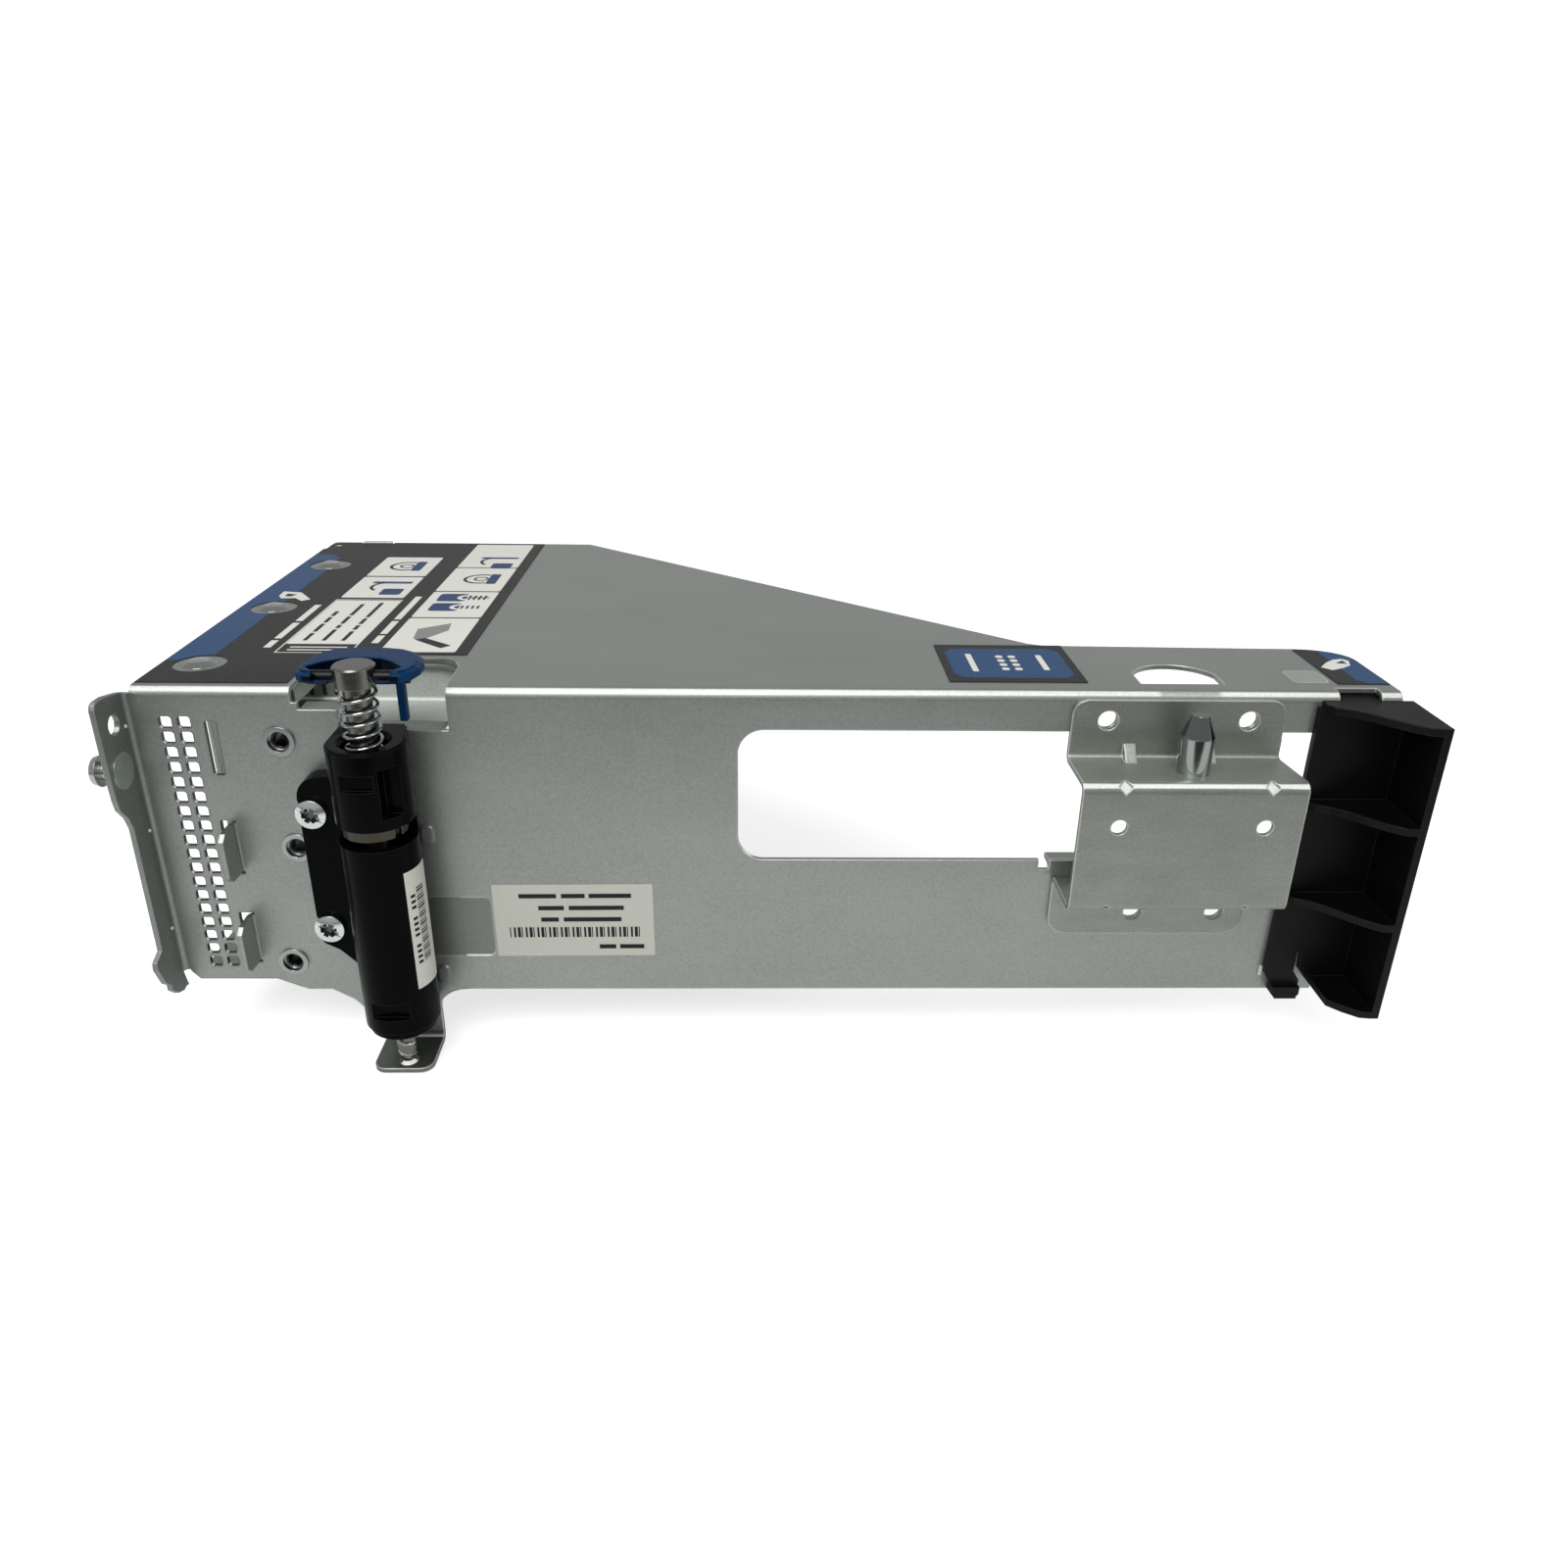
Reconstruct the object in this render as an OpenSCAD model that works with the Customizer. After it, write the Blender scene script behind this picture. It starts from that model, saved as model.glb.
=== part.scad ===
// Riser cage bracket for a two-unit server: a folded steel wall and roof that carry the
// expansion cards, held down at the rear by a half-turn spring latch.
// Everything is drawn from the rear end of the roof fold (X along the fold towards the
// card ends, Y into the cage, Z up) and then moved so that the origin is the seat of the
// guide pin on its bracket.

/* [Sheet] */
// Thickness of the galvanised sheet
sheet = 1; // [0.8:0.1:1.2]
// Inside radius of every fold
bend_in = 1; // [0.5:0.1:1.5]
// Height of the side wall
wall_h = 67; // [64:0.5:72]
// Length of the side wall
wall_len = 229; // [227:0.5:231]
// How far the roof's strip runs past the end of the wall
roof_over = 12.2; // [10.6:0.2:12.6]
// Depth of the roof at the slot end
roof_depth = 118.4; // [112:0.2:124]
// Depth of the roof at the card-end strip
strip_depth = 27.6; // [24:0.2:32]

/* [Vents] */
// Side of a vent hole
vent_size = 2.4; // [1.5:0.1:2.6]
// Distance between rows
vent_pitch = 3.12; // [2.9:0.02:3.14]
// Distance between the two columns
vent_gap = 3.5; // [3:0.1:3.6]

/* [Card window] */
// Length of the big window in the wall
window_len = 106; // [80:1:109]
// Height of the big window
window_h = 28; // [20:0.5:30]

/* [Rear slots] */
// Card slots in the rear frame
slots = 3; // [1:1:3]
// Distance from slot to slot
slot_pitch = 20.32; // [18:0.02:21]
// Height of a slot opening
slot_h = 12.6; // [10:0.2:15]

/* [Pin bracket] */
// Width of the hat-shaped bracket
bracket_w = 42.4; // [36:0.2:46]
// How far its face stands out from the wall
bracket_out = 14; // [12:0.5:18]
// Height of its face
bracket_h = 27.2; // [22:0.1:28]
// Diameter of the guide pin
pin_d = 6.4; // [5:0.1:8]
// Height of the guide pin above its seat
pin_h = 11.4; // [8:0.1:16]

/* [Latch] */
// Distance of the latch from the rear end of the wall
latch_x = 45.2; // [44.8:0.1:46]
// Distance of the latch axis out from the wall
latch_out = 8.3; // [7.8:0.1:9]
// Outer diameter of the latch housing
housing_d = 14.6; // [14.2:0.1:15.2]
// Diameter of the turning shaft
shaft_d = 5; // [4.4:0.1:5.4]
// Diameter of the push button
button_d = 7.6; // [7:0.1:8]
// Height of the push button
button_h = 3.8; // [3.6:0.1:5]
// Outer diameter of the coil spring
spring_d = 7.6; // [7:0.1:8.2]
// Wire diameter of the coil spring
wire_d = 0.7; // [0.5:0.05:0.8]
// Turns of the coil spring
spring_turns = 10; // [6:1:12]
// How far the latch presses down
press_travel = 1.2; // [0.8:0.1:1.3]
// Diameter of the cross bar that carries the handle
bar_d = 2.4; // [1.8:0.1:2.6]

/* [Card-end guide] */
// Wall thickness of the moulded guide
guide_wall = 1.5; // [1:0.1:2]
// How far the guide stands out from the wall
guide_out = 14.8; // [13:0.1:16]

/* [Hidden] */
$fn = 48;
eps = 0.01;
play = 0.05;                         // running clearance on a radius
bend_out = bend_in + sheet;
roof_len = wall_len + roof_over;
low_edge = -wall_h;

// Pin bracket; the seat of its guide pin is the origin of the finished part
bracket_x = wall_len - 51.6;         // rear edge
bracket_top = -1.2;                  // top edge of the upper flange
shelf_z = -13;                       // top face of the shelf
bracket_low = shelf_z - bracket_h;
flange_w = bracket_w - 1.2;          // width where the shelves meet the wall
flange_drop = 12.6;                  // height of the lower flange
pin_x = bracket_x + 22.1;
pin_y = -7.5;
pin_root_d = 4;
upper_holes = [for (x = [7, bracket_w - 8.1]) [bracket_x + x, -5.4]];
lower_holes = [for (x = [17.4, bracket_w - 8.1]) [bracket_x + x, bracket_low - 7.4]];
front_holes = [for (x = [7.6, bracket_w - 7.2]) [bracket_x + x, shelf_z - 8.8]];
flange_hole_r = 1.95;
front_hole_r = 1.55;
dart_front = [8, bracket_w - 6.9];   // pressed ribs across its folds
dart_wall = [11.7, 27];
dart_low = [7.2, bracket_w - 8.1];

// Roof outline
slope_start = 71;
slope_end = wall_len - 54;
end_corner = 10;
end_z = -2.6;                        // lower edge of the lip at the card end
d_hole = [wall_len - 29, 5];         // middle of the straight side of the D-shaped hole
d_half = 8.2;

// Wall details
corner_z = 2.6;                      // step up of the wall's lower rear corner
corner_len = 17.5;
vent_x = 5.6;
vent_z = -7.08;
vent_rows = floor((wall_h - 13.9) / vent_pitch) + 1;
slot_at = [12.8, -18];
slot_size = [2.2, 11.2];
hook_x = 13.8;
hook_reach = 6;
lanced_in = 0.3;                     // inside radius of the lanced tabs
hook_tops = [-28.2, low_edge + 18];
hook_h = 10.8;
foot_x = latch_x - 0.7;
foot_w = 12.2;
foot_z = -wall_h - 13;               // underside of the foot
foot_hole_d = shaft_d - 1.4;
foot_reach = latch_out + 3.9;
window_x = wall_len - 115.4;
window_top = -8.1;
window_low = window_top - window_h;
lip_x = window_x + 63;
notch_relief = 2.2;
pocket = [48.5, low_edge + 8.3];
pocket_size = [14.8, 13.7];
stop_zs = [-32.6, low_edge + 1.9];   // half-sheared stops beside the latch
stop_x = latch_x + 5.75;
stop_w = 2.4;

// Latch notch in the fold and the roof
notch_x0 = latch_x - 15.7;
notch_x1 = latch_x + 13.2;
notch_depth = 17.8;
notch_step_x = latch_x - 6.7;
notch_left_z = -4.4;
notch_right_z = -8.5;
notch_corner = 6;
collar_drop = bend_out + 0.3;        // depth of the collar drawn round the opening
backplate_z = -9.3;
backplate_w = 30.4;
frame_near = 25;                     // edge of the slot frame, clear of the light through the vents

// Rear flange
flange_x = -2.3;
flange_hole = [-4.8, -5.8];
flange_hole_d = 3.9;
stud_at = [-5.2, -14.8];
stud_d = 4;

// Post of the slot frame that shows at the far edge of the roof
post_tab_x = 9;
post_tab_w = 7.6;

// Rivets and standoffs
rivet_ys = [13.4, 52.9, 92.4];
rivet_x = 7.8;
rivet_d = 3.2;
card_screw_d = 3.2;
standoffs_at = [[26.3, -10.8], [26.3, -33.5], [21.5, low_edge + 6.9]];
standoff_d = 5.4;
standoff_len = 6;
standoff_thread = 3;

// Latch stack, from the top down
latch = [latch_x, -latch_out];
button_top = 7.5;
button_low = button_top - button_h;
bar_z = 5.2;
bar_len = 19.6;
housing_top = -7.1;
housing_low = -wall_h - 3;
spring_seat = -21;
cavity_top = -22;
gap_top = -22.7;                     // window that shows the collar
gap_h = 4;
collar_d = housing_d - 2.6;
collar_top = cavity_top - play;
collar_h = 3.2;
clip_t = 0.6;
clip_z = collar_top - collar_h - play - clip_t;
cavity_low = clip_z - press_travel - 0.5;
shaft_step = low_edge - 1.5;         // end of the full shaft, inside the housing
tip_low = foot_z + 1.6;              // the tip waits over the hole in the foot

// Latch housing and its ear
housing_shift = 0.3;                 // round of the housing beside the latch axis
ear_t = 4;
ear_r = 4.4;
ear_x = latch_x - 11.4;
screw_x = latch_x - 13.3;
screw_zs = [-24, low_edge + 17.6];
screw_d = 3;
screw_head = 5.9;
screw_sink = 0.4;

// Bail handle about the middle of the cross bar
bail_t = 2.6;
bail_z = 0.4;                        // middle of the plate above the bar
bail_round = 0.9;
hook_lip = 0.2;                      // top of the lip in front of the bar, below its middle
bail_shape = [[-8.4, -2.8], [-4, -3], [0, -3.1], [4, -3], [8.8, -2.7], [10.5, -1.2], [11.3, 1.5],
    [11.3, 4.5], [10.6, 7.3], [8.9, 9.9], [6.3, 11.7], [3, 12.5], [0, 12.7], [-3, 12.6],
    [-6.2, 12], [-8.6, 10.2], [-9.9, 7.6], [-10.5, 4.5], [-10.6, 1.5], [-9.9, -1.6]];
bail_eye = [[-8.8, 0.4], [-6.4, 3.4], [-3.2, 5.2], [0, 5.7], [3.4, 5.2], [6.2, 3], [8.4, 0.3],
    [6.8, -1.6], [-6.8, -1.6]];
leg = [5.3, 5.5];                    // locking leg, from the same middle
leg_size = [1.5, 1.7];
leg_low = -5.6;

// Card-end guide
guide_x = wall_len - 4.2;
guide_right = wall_len + 14.2;
guide_top = -1.4;
guide_pitch = (wall_h - 4) / 3;      // one cell for each card
guide_low = -wall_h + 2.6;           // underside of the lowest shelf
guide_cut = guide_x + 9.6;           // rear edge of the lowest shelf
guide_tab = 7;                       // wall left standing behind the clip
guide_sweep = [[0.8, 0.17], [1.6, 0.27], [4.3, 0.35], [6.9, 0.49], [9.5, 0.68], [12, 0.85],
    [14.6, 0.98], [16.6, 1]];        // front edge: distance along, share of the reach

// Labels
label_t = 0.15;
instruction_w = 58.5;
press_at = [wall_len - 74.5, 5.3];
press_size = [27, 23.2];
end_label_x = wall_len + 1.6;
wall_label_at = [63.8, low_edge + 8.2];
wall_label_size = [32.5, 16.8];
latch_label_z = [low_edge + 9, -32.2];
latch_label_a = [-43.5, 9];

// Colours
steel = [0.52, 0.54, 0.53];
bright = [0.78, 0.79, 0.78];
black = [0.05, 0.055, 0.06];
blue = [0.12, 0.28, 0.55];
dark = [0.2, 0.2, 0.2];
white = [0.93, 0.93, 0.9];

// Moves a piece from the fold's rear end to the part's own origin
module placed() translate([-pin_x, -pin_y, -shelf_z]) children();

// L-section of folded sheet: outer corner at the origin, one leg down, one along +X
module elbow(down, along, inside = bend_in) {
    r = inside + sheet;
    difference() {
        union() {
            translate([0, -down]) square([sheet, down - r + eps]);
            translate([r - eps, -sheet]) square([along - r + eps, sheet]);
            intersection() {
                translate([r, -r]) circle(r);
                translate([0, -r]) square(r);
            }
        }
        translate([r, -r]) circle(inside);
    }
}

// Sweeps a section drawn in (Y, Z) along the fold
module along_fold(x0, x1) {
    translate([x0, 0, 0]) rotate([90, 0, 90]) linear_extrude(x1 - x0) children();
}

// Cuts through the wall: the shape is drawn in (X, Z)
module wall_cut(t = sheet) {
    translate([0, sheet + eps, 0]) rotate([90, 0, 0]) linear_extrude(t + 2 * eps) children();
}

// A flat on the outer face of the wall, drawn in (X, Z)
module on_wall(t) rotate([90, 0, 0]) linear_extrude(t) children();

// Rounded rectangle from its lower left corner
module rounded(w, h, r) {
    translate([r, 0]) square([w - 2 * r, h]);
    translate([0, r]) square([w, h - 2 * r]);
    for (x = [r, w - r], y = [r, h - r]) translate([x, y]) circle(r);
}

// Small square hole with clipped corners, drawn about its centre
module vent_hole(s) {
    c = s / 2;
    k = s / 2 - 0.4;
    polygon([[-k, -c], [k, -c], [c, -k], [c, k], [k, c], [-k, c], [-c, k], [-c, -k]]);
}

// What is trimmed off the roof: the slope, the strip's edge and its round corner
module roof_offcut() {
    far = roof_depth + 1;
    polygon([[slope_start, far], [slope_start, roof_depth], [slope_end, strip_depth + 2.5],
        [slope_end + 3, strip_depth + 1.2], [roof_len - end_corner, strip_depth],
        for (a = [75 : -15 : 0]) [roof_len - end_corner + end_corner * cos(a),
            strip_depth - 7 + 7 * sin(a)],
        [roof_len + 1, strip_depth - 7], [roof_len + 1, far]]);
}

// Opening in the roof that lets the handle down
module well_opening() {
    difference() {
        translate([notch_x0, -1]) square([notch_x1 - notch_x0, notch_depth + 1]);
        translate([notch_x1 - notch_corner, notch_depth - notch_corner]) difference() {
            square(notch_corner + 1);
            circle(notch_corner);
        }
    }
}

// Flared tab under the wall that ends in the foot
module foot_outline() {
    low = -wall_h;
    half = foot_w / 2;
    curve = [6.2, 4.6];
    polygon([[foot_x - half - 10, low + 1], [foot_x - half - 10, low],
        [foot_x - half - 5.6, low - 2.6], [foot_x - half, low - 9.5], [foot_x - half, foot_z],
        [foot_x + half, foot_z], for (a = [180 : -15 : 90])
            [foot_x + half + curve[0] * (1 + cos(a)), low + curve[1] * (sin(a) - 1)],
        [foot_x + half + curve[0], low + 1]]);
}

// Outline of the foot seen from below
module foot_plan() {
    half = foot_w / 2;
    r = 2.7;
    translate([foot_x - half, -foot_reach + 1 + r]) square([foot_w, foot_reach - r + 1]);
    translate([foot_x - half + r, -foot_reach + 1]) square([foot_w - 2 * r, r + 1]);
    for (s = [-1, 1]) translate([foot_x + s * (half - r), -foot_reach + 1 + r]) circle(r);
}

// Profile of the rear flange in (Y, Z)
module flange_profile() {
    polygon([[sheet + 0.5, -1.5], [-0.7, -0.9], [-5.8, 0.1], [-8.7, 0.1], [-9.6, -0.3],
        [-10, -1.2], [-9.9, -14.4], [-9.6, -19.2], [-9.2, -21.2], [-7.1, -23.9],
        [-6.2, -26.6], [-6.4, low_edge + 13.4], [-9.2, low_edge + 12.2],
        [-9.5, low_edge + 10.8], [-7.7, low_edge + 6.5], [-6, low_edge + 5],
        [-6.1, low_edge + 3.8], [-4.1, low_edge + 1.8], [-1.6, low_edge + 0.9],
        [-0.2, low_edge + 1.4], [-0.6, low_edge + 4.8], [sheet + 0.5, low_edge + 5.2]]);
}

// Flange bent outwards along the rear edge of the wall
module rear_flange() {
    intersection() {
        translate([flange_x, sheet, -wall_h]) linear_extrude(wall_h + 1)
            elbow(11.5, sheet - flange_x);
        translate([flange_x - 1, 0, 0]) rotate([90, 0, 90]) linear_extrude(5) flange_profile();
    }
}

// A catch lanced out of the wall and bent outwards
module hook_tab(top) {
    clip = 1.4;
    intersection() {
        translate([hook_x, sheet, top - hook_h]) linear_extrude(hook_h)
            elbow(hook_reach + sheet, lanced_in + sheet + 0.6, lanced_in);
        translate([hook_x - 1, 0, 0]) rotate([90, 0, 90]) linear_extrude(5)
            polygon([[sheet, top], [-hook_reach + clip, top - 0.2], [-hook_reach, top - clip],
                [-hook_reach, top - hook_h + clip], [-hook_reach + clip, top - hook_h + 0.2],
                [sheet, top - hook_h]]);
    }
}

// Shelves folded in under the latch notch and the collar drawn round its opening
module notch_lips() {
    flat = bend_out + 0.5;
    corner = [notch_x1 - notch_corner, notch_depth - notch_corner];
    along_fold(notch_x0 + 1.5, notch_step_x) translate([0, notch_left_z]) elbow(flat, 4.5);
    along_fold(notch_step_x, notch_x1 - 1.2) translate([0, notch_right_z]) elbow(flat, 5);
    along_fold(notch_x0 + 3, corner[0]) translate([notch_depth, 0]) elbow(collar_drop, flat);
    translate([corner[0], corner[1], 0]) rotate_extrude(angle = 90)
        translate([notch_corner, 0]) elbow(collar_drop, flat);
    translate([notch_x1, corner[1], 0]) rotate([90, 0, 0])
        linear_extrude(corner[1] - bend_out - 1) elbow(collar_drop, flat);
    translate([notch_x0, notch_depth, 0]) rotate([90, 0, 0])
        linear_extrude(notch_depth - bend_out - 1) mirror([1, 0]) elbow(-notch_left_z, flat);
}

// Round holes through the wall or a flange on it, at points in (X, Z)
module wall_holes(at, r, t = sheet) for (p = at) wall_cut(t) translate(p) circle(r);

// Everything punched through the folded wall and roof
module punched_holes() {
    deep = sheet + 2;
    // roof edge and the end of the wall under the lip
    translate([0, 0, -deep]) linear_extrude(deep + 1) roof_offcut();
    translate([wall_len, -1, -wall_h + 10]) cube([roof_len, 5.5, wall_h - 10 + end_z]);
    translate([wall_len + guide_tab, -1, -wall_h - 1]) cube([roof_len, 5.5, 12]);
    translate([wall_len, -1, end_z - 0.4]) cube([8.2, 4.2, 4]);
    // D-shaped hole beside the fold, and the flat that it leaves on the fold
    translate([d_hole[0], d_hole[1], -deep]) linear_extrude(deep + 1) intersection() {
        translate([0, 3]) circle(8.7);
        translate([-d_half, 0]) square([2 * d_half, 13]);
    }
    translate([d_hole[0] - 2.5, 0, 0]) rotate([45, 0, 0]) translate([0, -2, -0.5])
        cube([13, 4, 0.5]);
    // far rear corner, its tooling hole and the gap for the post of the slot frame
    translate([-1, roof_depth - 7.8, -deep]) cube([1.7, 10, deep + 1]);
    translate([3, roof_depth - 4.4, -deep]) cylinder(d = 1.8, h = deep + 1);
    translate([post_tab_x - 0.3, roof_depth - 1.4, -deep])
        cube([post_tab_w + 0.6, 3, deep + 1]);
    // latch notch
    translate([0, 0, -deep]) linear_extrude(deep + 1) well_opening();
    translate([notch_x0 + 1.2, -1, notch_left_z]) cube([notch_x1 - notch_x0 - 1, 3.5, 5.5]);
    translate([notch_step_x - 0.5, -1, notch_right_z])
        cube([notch_x1 - notch_step_x + 0.7, 3.5, -notch_right_z]);
    // lower rear corner, vents and the slot
    wall_cut() polygon([[-3, -wall_h - 1], [-3, -wall_h + 4.8], [-0.2, -wall_h + 4.8],
        [1.6, -wall_h + corner_z], [corner_len, -wall_h + corner_z],
        [corner_len + 6, -wall_h], [corner_len + 6, -wall_h - 1]]);
    wall_cut() for (i = [0 : vent_rows - 1], k = [0, 1])
        translate([vent_x + k * vent_gap, vent_z - i * vent_pitch]) vent_hole(vent_size);
    wall_cut() translate(slot_at) rounded(slot_size[0], slot_size[1], 0.5);
    for (top = hook_tops) wall_cut() translate([hook_x - 1.6, top - hook_h - 0.5])
        square([1.6 + lanced_in + sheet, hook_h + 1]);
    // window and the relief at the start of its lip
    wall_cut() translate([window_x, window_low]) rounded(window_len, window_h, 5);
    wall_cut() translate([window_x + window_len - 6, window_low])
        rounded(wall_len - 2 - window_x - window_len + 6, window_h, 1);
    wall_cut() translate([lip_x - notch_relief, window_low - 2.2]) square([notch_relief, 5]);
    // fastener holes
    wall_holes(concat(upper_holes, lower_holes), flange_hole_r);
    wall_holes(standoffs_at, standoff_d / 2);
    wall_holes([for (z = screw_zs) [screw_x, z]], screw_d / 2);
    for (y = rivet_ys) translate([rivet_x, y, -deep]) cylinder(d = rivet_d, h = deep + 1);
    // shallow coined pocket
    translate([0, 0.2, 0]) on_wall(1) translate(pocket)
        rounded(pocket_size[0], pocket_size[1], 1.2);
}

// Folded wall and roof in one sheet
module cage_shell() {
    color(steel) placed() difference() {
        union() {
            difference() {
                along_fold(0, roof_len) elbow(wall_h, roof_depth);
                punched_holes();
            }
            rear_flange();
            for (top = hook_tops) hook_tab(top);
            notch_lips();
            // foot
            wall_cut(sheet - 2 * eps) intersection() {
                foot_outline();
                translate([0, foot_z + bend_out]) square([80, 20]);
            }
            intersection() {
                along_fold(foot_x - foot_w / 2, foot_x + foot_w / 2) translate([sheet, foot_z])
                    rotate(180) elbow(bend_out + 0.5, foot_reach);
                translate([0, 0, foot_z - 1]) linear_extrude(6) union() {
                    foot_plan();
                    translate([20, -1]) square([40, 3]);
                }
            }
            // bottom flange under the rear corner
            along_fold(1.6, corner_len + 0.5) translate([0, -wall_h + corner_z])
                mirror([0, 1]) elbow(bend_out + 0.5, 22);
            // lip under the window
            along_fold(lip_x, guide_x - 1) translate([0, window_low - 0.5])
                elbow(bend_out + 0.6, 4.5);
            for (z = stop_zs) on_wall(0.4) translate([stop_x, z]) rounded(stop_w, 3.9, 1);
        }
        // holes in the flange and the foot
        translate([flange_x - 1, flange_hole[0], flange_hole[1]]) rotate([0, 90, 0])
            cylinder(d = flange_hole_d, h = 4);
        translate([flange_x - 1, stud_at[0], stud_at[1]]) rotate([0, 90, 0])
            cylinder(d = stud_d, h = 4);
        translate([latch[0], latch[1], foot_z - 1]) cylinder(d = foot_hole_d, h = 4);
    }
}

// Plate welded under the roof: it closes the cage behind the latch notch
module notch_backplate() {
    front = notch_depth + sheet + play;
    half_drop = -backplate_z / 2 + sheet;
    color(steel) placed() along_fold(notch_x0 + 2.6, notch_x0 + 2.6 + backplate_w) {
        translate([front, -sheet]) elbow(half_drop, 8);
        translate([front + sheet, backplate_z - sheet]) rotate(180) elbow(half_drop, 12.5);
    }
}

// Slot frame riveted under the roof: it takes the card brackets
module rear_slot_frame() {
    face = sheet + 0.2;
    far = roof_depth - 0.4;
    low = -wall_h + corner_z + sheet + 0.2;
    first = -6 - slot_h;
    color(steel) placed() difference() {
        union() {
            // plate with a flange under the roof
            translate([face, far, -sheet]) rotate([90, 0, 0]) linear_extrude(far - 4)
                elbow(-low - sheet, 13);
            // post at the far side, bent forward, with a tab up through the roof's edge
            translate([face, far, low]) linear_extrude(-low - 2 * sheet) elbow(6, 12);
            translate([post_tab_x, far - sheet, -9]) cube([post_tab_w, sheet, 9.5]);
        }
        for (i = [0 : slots - 1]) {
            translate([0, frame_near + 4, first - i * slot_pitch])
                cube([4, far - frame_near - 16.4, slot_h]);
            translate([0, far - 9, first + slot_h / 2 - i * slot_pitch]) rotate([0, 90, 0])
                cylinder(d = card_screw_d, h = 4);
        }
        translate([0, 0, low - 1]) cube([4, frame_near, -low - 3]);
        for (y = rivet_ys) translate([rivet_x, y, -4]) cylinder(d = rivet_d, h = 4);
    }
}

// Domed rivets that hold the slot frame
module frame_rivets() {
    color(bright) placed() for (y = rivet_ys) translate([rivet_x, y, 0]) {
        rotate_extrude() intersection() {
            translate([0, -4.2]) circle(r = 5.4);
            square([4, 2]);
        }
        translate([0, 0, -2 * sheet]) cylinder(d = rivet_d, h = 2 * sheet + eps);
        translate([0, 0, -2 * sheet - 0.8]) cylinder(d = rivet_d + 1.6, h = 0.8);
    }
}

// Self-clinching standoff: a ring outside, a threaded post inside
module standoff(p) {
    color(bright) placed() translate([p[0], 0, p[1]]) rotate([90, 0, 0]) difference() {
        union() {
            cylinder(d = 6, h = 0.5);
            translate([0, 0, -sheet]) cylinder(d = standoff_d, h = sheet + 0.2);
            translate([0, 0, -sheet - standoff_len]) cylinder(d = 7, h = standoff_len);
        }
        translate([0, 0, -sheet - standoff_len - 1]) cylinder(d = standoff_thread, h = 20);
        translate([0, 0, -0.8]) cylinder(d = 4.2, h = 2);
    }
}

module board_standoff_upper() standoff(standoffs_at[0]);
module board_standoff_middle() standoff(standoffs_at[1]);
module board_standoff_lower() standoff(standoffs_at[2]);

// Shouldered stud clinched in the rear flange
module flange_stud() {
    color(bright) placed() translate([flange_x, stud_at[0], stud_at[1]]) rotate([0, -90, 0]) {
        translate([0, 0, -sheet]) cylinder(d = stud_d, h = sheet + eps);
        translate([0, 0, -sheet - 0.2]) cylinder(d = 7.2, h = 0.2);
        cylinder(d = 5, h = 0.8);
        translate([0, 0, 0.8 - eps]) cylinder(d = 3.6, h = 2 + 2 * eps);
        translate([0, 0, 2.8]) cylinder(d1 = 6.2, d2 = 5.4, h = 1.2);
    }
}

// Hat-shaped bracket on the wall that carries the guide pin
module pin_bracket() {
    depth = bracket_out - bend_out;
    wedge = 3.2;
    rib_w = 2.2;
    color(steel) placed() difference() {
        union() {
            intersection() {
                along_fold(bracket_x, bracket_x + bracket_w) {
                    translate([0, shelf_z - sheet]) rotate(180) elbow(5, depth);
                    translate([-bracket_out, shelf_z]) elbow(bracket_h - bend_out, depth);
                    translate([-bracket_out, bracket_low]) mirror([0, 1])
                        elbow(bracket_h - bend_out, depth);
                    translate([0, bracket_low + sheet]) mirror([1, 0]) elbow(5, depth);
                }
                // the shelves narrow towards the wall
                translate([0, 0, bracket_low - 10]) linear_extrude(bracket_h + 20)
                    polygon([[bracket_x, 1], [bracket_x, -bracket_out - 1],
                        [bracket_x + bracket_w, -bracket_out - 1],
                        [bracket_x + bracket_w, -depth],
                        [bracket_x + flange_w, 0], [bracket_x + flange_w, 1]]);
            }
            on_wall(sheet) translate([bracket_x, shelf_z + 2])
                rounded(flange_w, bracket_top - shelf_z - 2, 3);
            on_wall(sheet) translate([bracket_x, shelf_z + 1.5]) square([flange_w, 5]);
            on_wall(sheet) translate([bracket_x, bracket_low - flange_drop])
                rounded(flange_w - 1, flange_drop, 4);
            on_wall(sheet) translate([bracket_x, bracket_low - 6])
                square([flange_w - 1, 6 - bend_in]);
            // wedges behind the pressed ribs
            for (x = dart_front) translate([bracket_x + x - rib_w / 2, 0.8 - bracket_out, shelf_z - 0.8])
                rotate([90, 0, 90]) linear_extrude(rib_w) polygon([[0, 0], [wedge, 0], [0, -wedge]]);
            for (x = dart_wall) translate([bracket_x + x - rib_w / 2, -0.8, shelf_z - 0.2])
                rotate([90, 0, 90]) linear_extrude(rib_w) polygon([[0, 0], [-wedge, 0], [0, wedge]]);
        }
        for (x = dart_front) translate([bracket_x + x, -bracket_out, shelf_z])
            rotate([45, 0, 0]) rotate([0, 0, 45]) cube([2, 2, wedge], center = true);
        for (x = dart_low) translate([bracket_x + x, -bracket_out, bracket_low])
            rotate([-45, 0, 0]) rotate([0, 0, 45]) cube([1.7, 1.7, wedge], center = true);
        translate([0, -sheet, 0]) wall_holes(concat(upper_holes, lower_holes), flange_hole_r);
        translate([0, -bracket_out, 0]) wall_holes(front_holes, front_hole_r);
        translate([pin_x, pin_y, shelf_z - 4]) cylinder(d = pin_root_d, h = 6);
    }
}

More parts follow.
